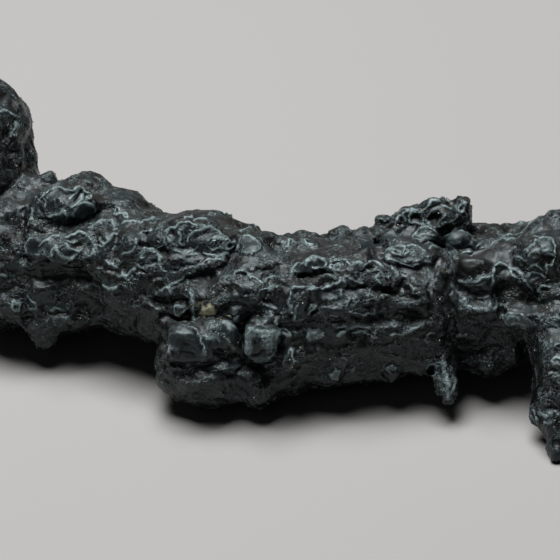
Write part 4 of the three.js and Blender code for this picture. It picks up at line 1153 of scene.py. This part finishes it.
def thin_to(corners, chosen):
    """Takes the stone's skin down to that many points. Only the chosen points go."""
    free = stone.vertex_groups.new(name="free")
    free.add(np.flatnonzero(chosen).tolist(), 1.0, "REPLACE")
    thinning = stone.modifiers.new("thinning", "DECIMATE")
    thinning.vertex_group = free.name
    thinning.ratio = corners / len(stone.data.vertices)
    settled(stone)
    stone.vertex_groups.clear()


shown = on_shown_face(crusted)
thin_to(MOST_CORNERS - FACE_CORNERS + shown.sum(), ~shown)
thin_to(MOST_CORNERS, on_shown_face(stone.data))

# the finished skin in the part's own frame, with nothing below the floor
thinned = stone.data
on_the_face = coordinates(thinned)
faces_out = directions(thinned)[:, 2]
thinned.transform(face_to_part)
grounded = coordinates(thinned)
grounded[:, 2] = np.maximum(grounded[:, 2], 0)
place(thinned, grounded)
thinned.shade_smooth()

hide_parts("stone")
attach(stone, "root")


# Sand grains
# Pale quartz grains, a tenth of a millimetre or two across, that the wind has lodged in the crust.
# The ones on the face lie at chosen places, and the rest are strewn over the whole stone.
GRAINS_ON_FACE = [  # u and v by turns
    -30.7, 11.8, -30.9, 10.6, -31.8, 7.4, -26.7, 7.4, -27.5, 10, -24.1, 10.6, -25.2, 4.2, -25.2, -0.4,
    -30.5, -6, -24.9, -4.7, -23.9, -5.2, -7.7, -4.4, -7.5, -4.5, -5, -8, -6.9, -9.1, -4.9, -11.7,
    -10.2, -12.3, -3.2, -14.8, 1.1, 0.5, 13.8, -1.5, 19.6, 8, 21, 1, 19.5, -3.1, 20, -2.6,
    21.2, -4.6, 20, -7.7, 27.7, -2.3, 32.7, -3.2, 31.2, -8.5,
]
GRAINS_STREWN = 110
STREWING_SEED = 41
LOWEST_GRAIN = 0.0015  # metres above the floor
GRAIN_REACH = 0.4  # millimetres from its place to where it may settle

resting = []
for at_u, at_v in zip(GRAINS_ON_FACE[0::2], GRAINS_ON_FACE[1::2]):
    away = np.hypot(on_the_face[:, 0] - at_u, on_the_face[:, 1] - at_v)
    close = np.flatnonzero((away < GRAIN_REACH) & (faces_out > 0.1))
    if len(close):
        resting.append(close[on_the_face[close, 2].argmax()])
clear_of_floor = np.flatnonzero(grounded[:, 2] > LOWEST_GRAIN)
draws = np.random.default_rng(STREWING_SEED)
resting.extend(draws.choice(clear_of_floor, GRAINS_STREWN, replace=False))
grain_places = bpy.data.meshes.new("grain_places")
grain_places.from_pydata(grounded[resting].tolist(), [], [])
grains = brought_in("sand_grains", grain_places)


def strewing_tree():
    """Sets an uneven grain at each of the places."""
    given, lay = geometry_tree("grain_strewing", "Places", {
        "Grain radius": 0.085 * MM,
        "Least share": 0.6,
        "Greatest share": 1.5,
        "Seed": 5,
    })
    fed = {"Radius": given["Grain radius"], "Subdivisions": 2}
    ball = lay.add("GeometryNodeMeshIcoSphere", fed).outputs["Mesh"]

    def drawn_between(least, greatest, seed):
        fed = {0: least, 1: greatest, "Seed": seed}
        return lay.add("FunctionNodeRandomValue", fed, data_type="FLOAT_VECTOR").outputs[0]

    turn = drawn_between((0, 0, 0), (math.tau, math.tau, math.tau), given["Seed"])
    least, greatest = lay.alike(given["Least share"]), lay.alike(given["Greatest share"])
    share = drawn_between(least, greatest, lay.plus(given["Seed"], 1.0))
    fed = {"Points": given["Places"], "Instance": ball, "Rotation": turn, "Scale": share}
    return closed_off(lay, given, lay.add("GeometryNodeInstanceOnPoints", fed))


WHITE_QUARTZ = (0.62, 0.58, 0.5, 1)
STRAW_QUARTZ = (0.36, 0.29, 0.18, 1)


def quartz_sand():
    """Dull quartz, from white to the colour of straw."""
    finish = bpy.data.materials.new("quartz_sand")
    finish.use_nodes = True
    tree = finish.node_tree
    lay = Nodes(tree)
    here = lay.add("ShaderNodeTexCoord").outputs["Object"]
    straw_share = lay.patches(here, 2 * MM, 0.4, 0.6)
    colour = lay.mixed(straw_share, WHITE_QUARTZ, STRAW_QUARTZ)
    bump = lay.add("ShaderNodeBump", {"Distance": 0.02 * MM, "Height": lay.noise(here, 0.1 * MM)["Fac"]})
    shader = tree.nodes["Principled BSDF"]
    tree.links.new(colour, shader.inputs["Base Color"])
    tree.links.new(bump.outputs[0], shader.inputs["Normal"])
    shader.inputs["Roughness"].default_value = 0.45
    return finish


run_on(grains, strewing_tree(), quartz_sand())
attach(grains, "root")


# Floor and studio light
# Pale paper under one broad lamp overhead, with a weak one in front.
FLOOR_CORNERS = [(-3, -3, 0), (3, -3, 0), (3, 3, 0), (-3, 3, 0)]
PALE_PAPER = (0.38, 0.374, 0.367, 1)
ROOM_COLOUR = (0.5, 0.52, 0.55, 1)
ROOM_STRENGTH = 0.015
LIT_SPOT = Vector((0, 0, 0.01))  # where the lamps point

floor_sheet = bpy.data.meshes.new("floor")
floor_sheet.from_pydata(FLOOR_CORNERS, [], [(0, 1, 2, 3)])
floor = brought_in("floor", floor_sheet)
paper = bpy.data.materials.new("pale_paper")
paper.use_nodes = True
paper_surface = paper.node_tree.nodes["Principled BSDF"]
paper_surface.inputs["Base Color"].default_value = PALE_PAPER
paper_surface.inputs["Roughness"].default_value = 0.9
floor_sheet.materials.append(paper)


def soft_light(name, place_at, size, watts):
    lamp = bpy.data.lights.new(name, "AREA")
    lamp.shape = "RECTANGLE"
    lamp.size, lamp.size_y = size
    lamp.energy = watts
    light = brought_in(name, lamp)
    light.location = place_at
    light.rotation_euler = (LIT_SPOT - Vector(place_at)).to_track_quat("-Z", "Y").to_euler()


soft_light("overhead", (-0.08, 0.07, 0.6), (0.4, 0.34), 5.1)
soft_light("front_fill", (-0.3, -0.7, 0.5), (0.6, 0.6), 0.1)
world = bpy.data.worlds.new("room")
world.use_nodes = True
room_glow = world.node_tree.nodes["Background"]
room_glow.inputs["Color"].default_value = ROOM_COLOUR
room_glow.inputs["Strength"].default_value = ROOM_STRENGTH
scene.world = world
scene.view_settings.view_transform = "Standard"
scene.view_settings.look = "Medium High Contrast"
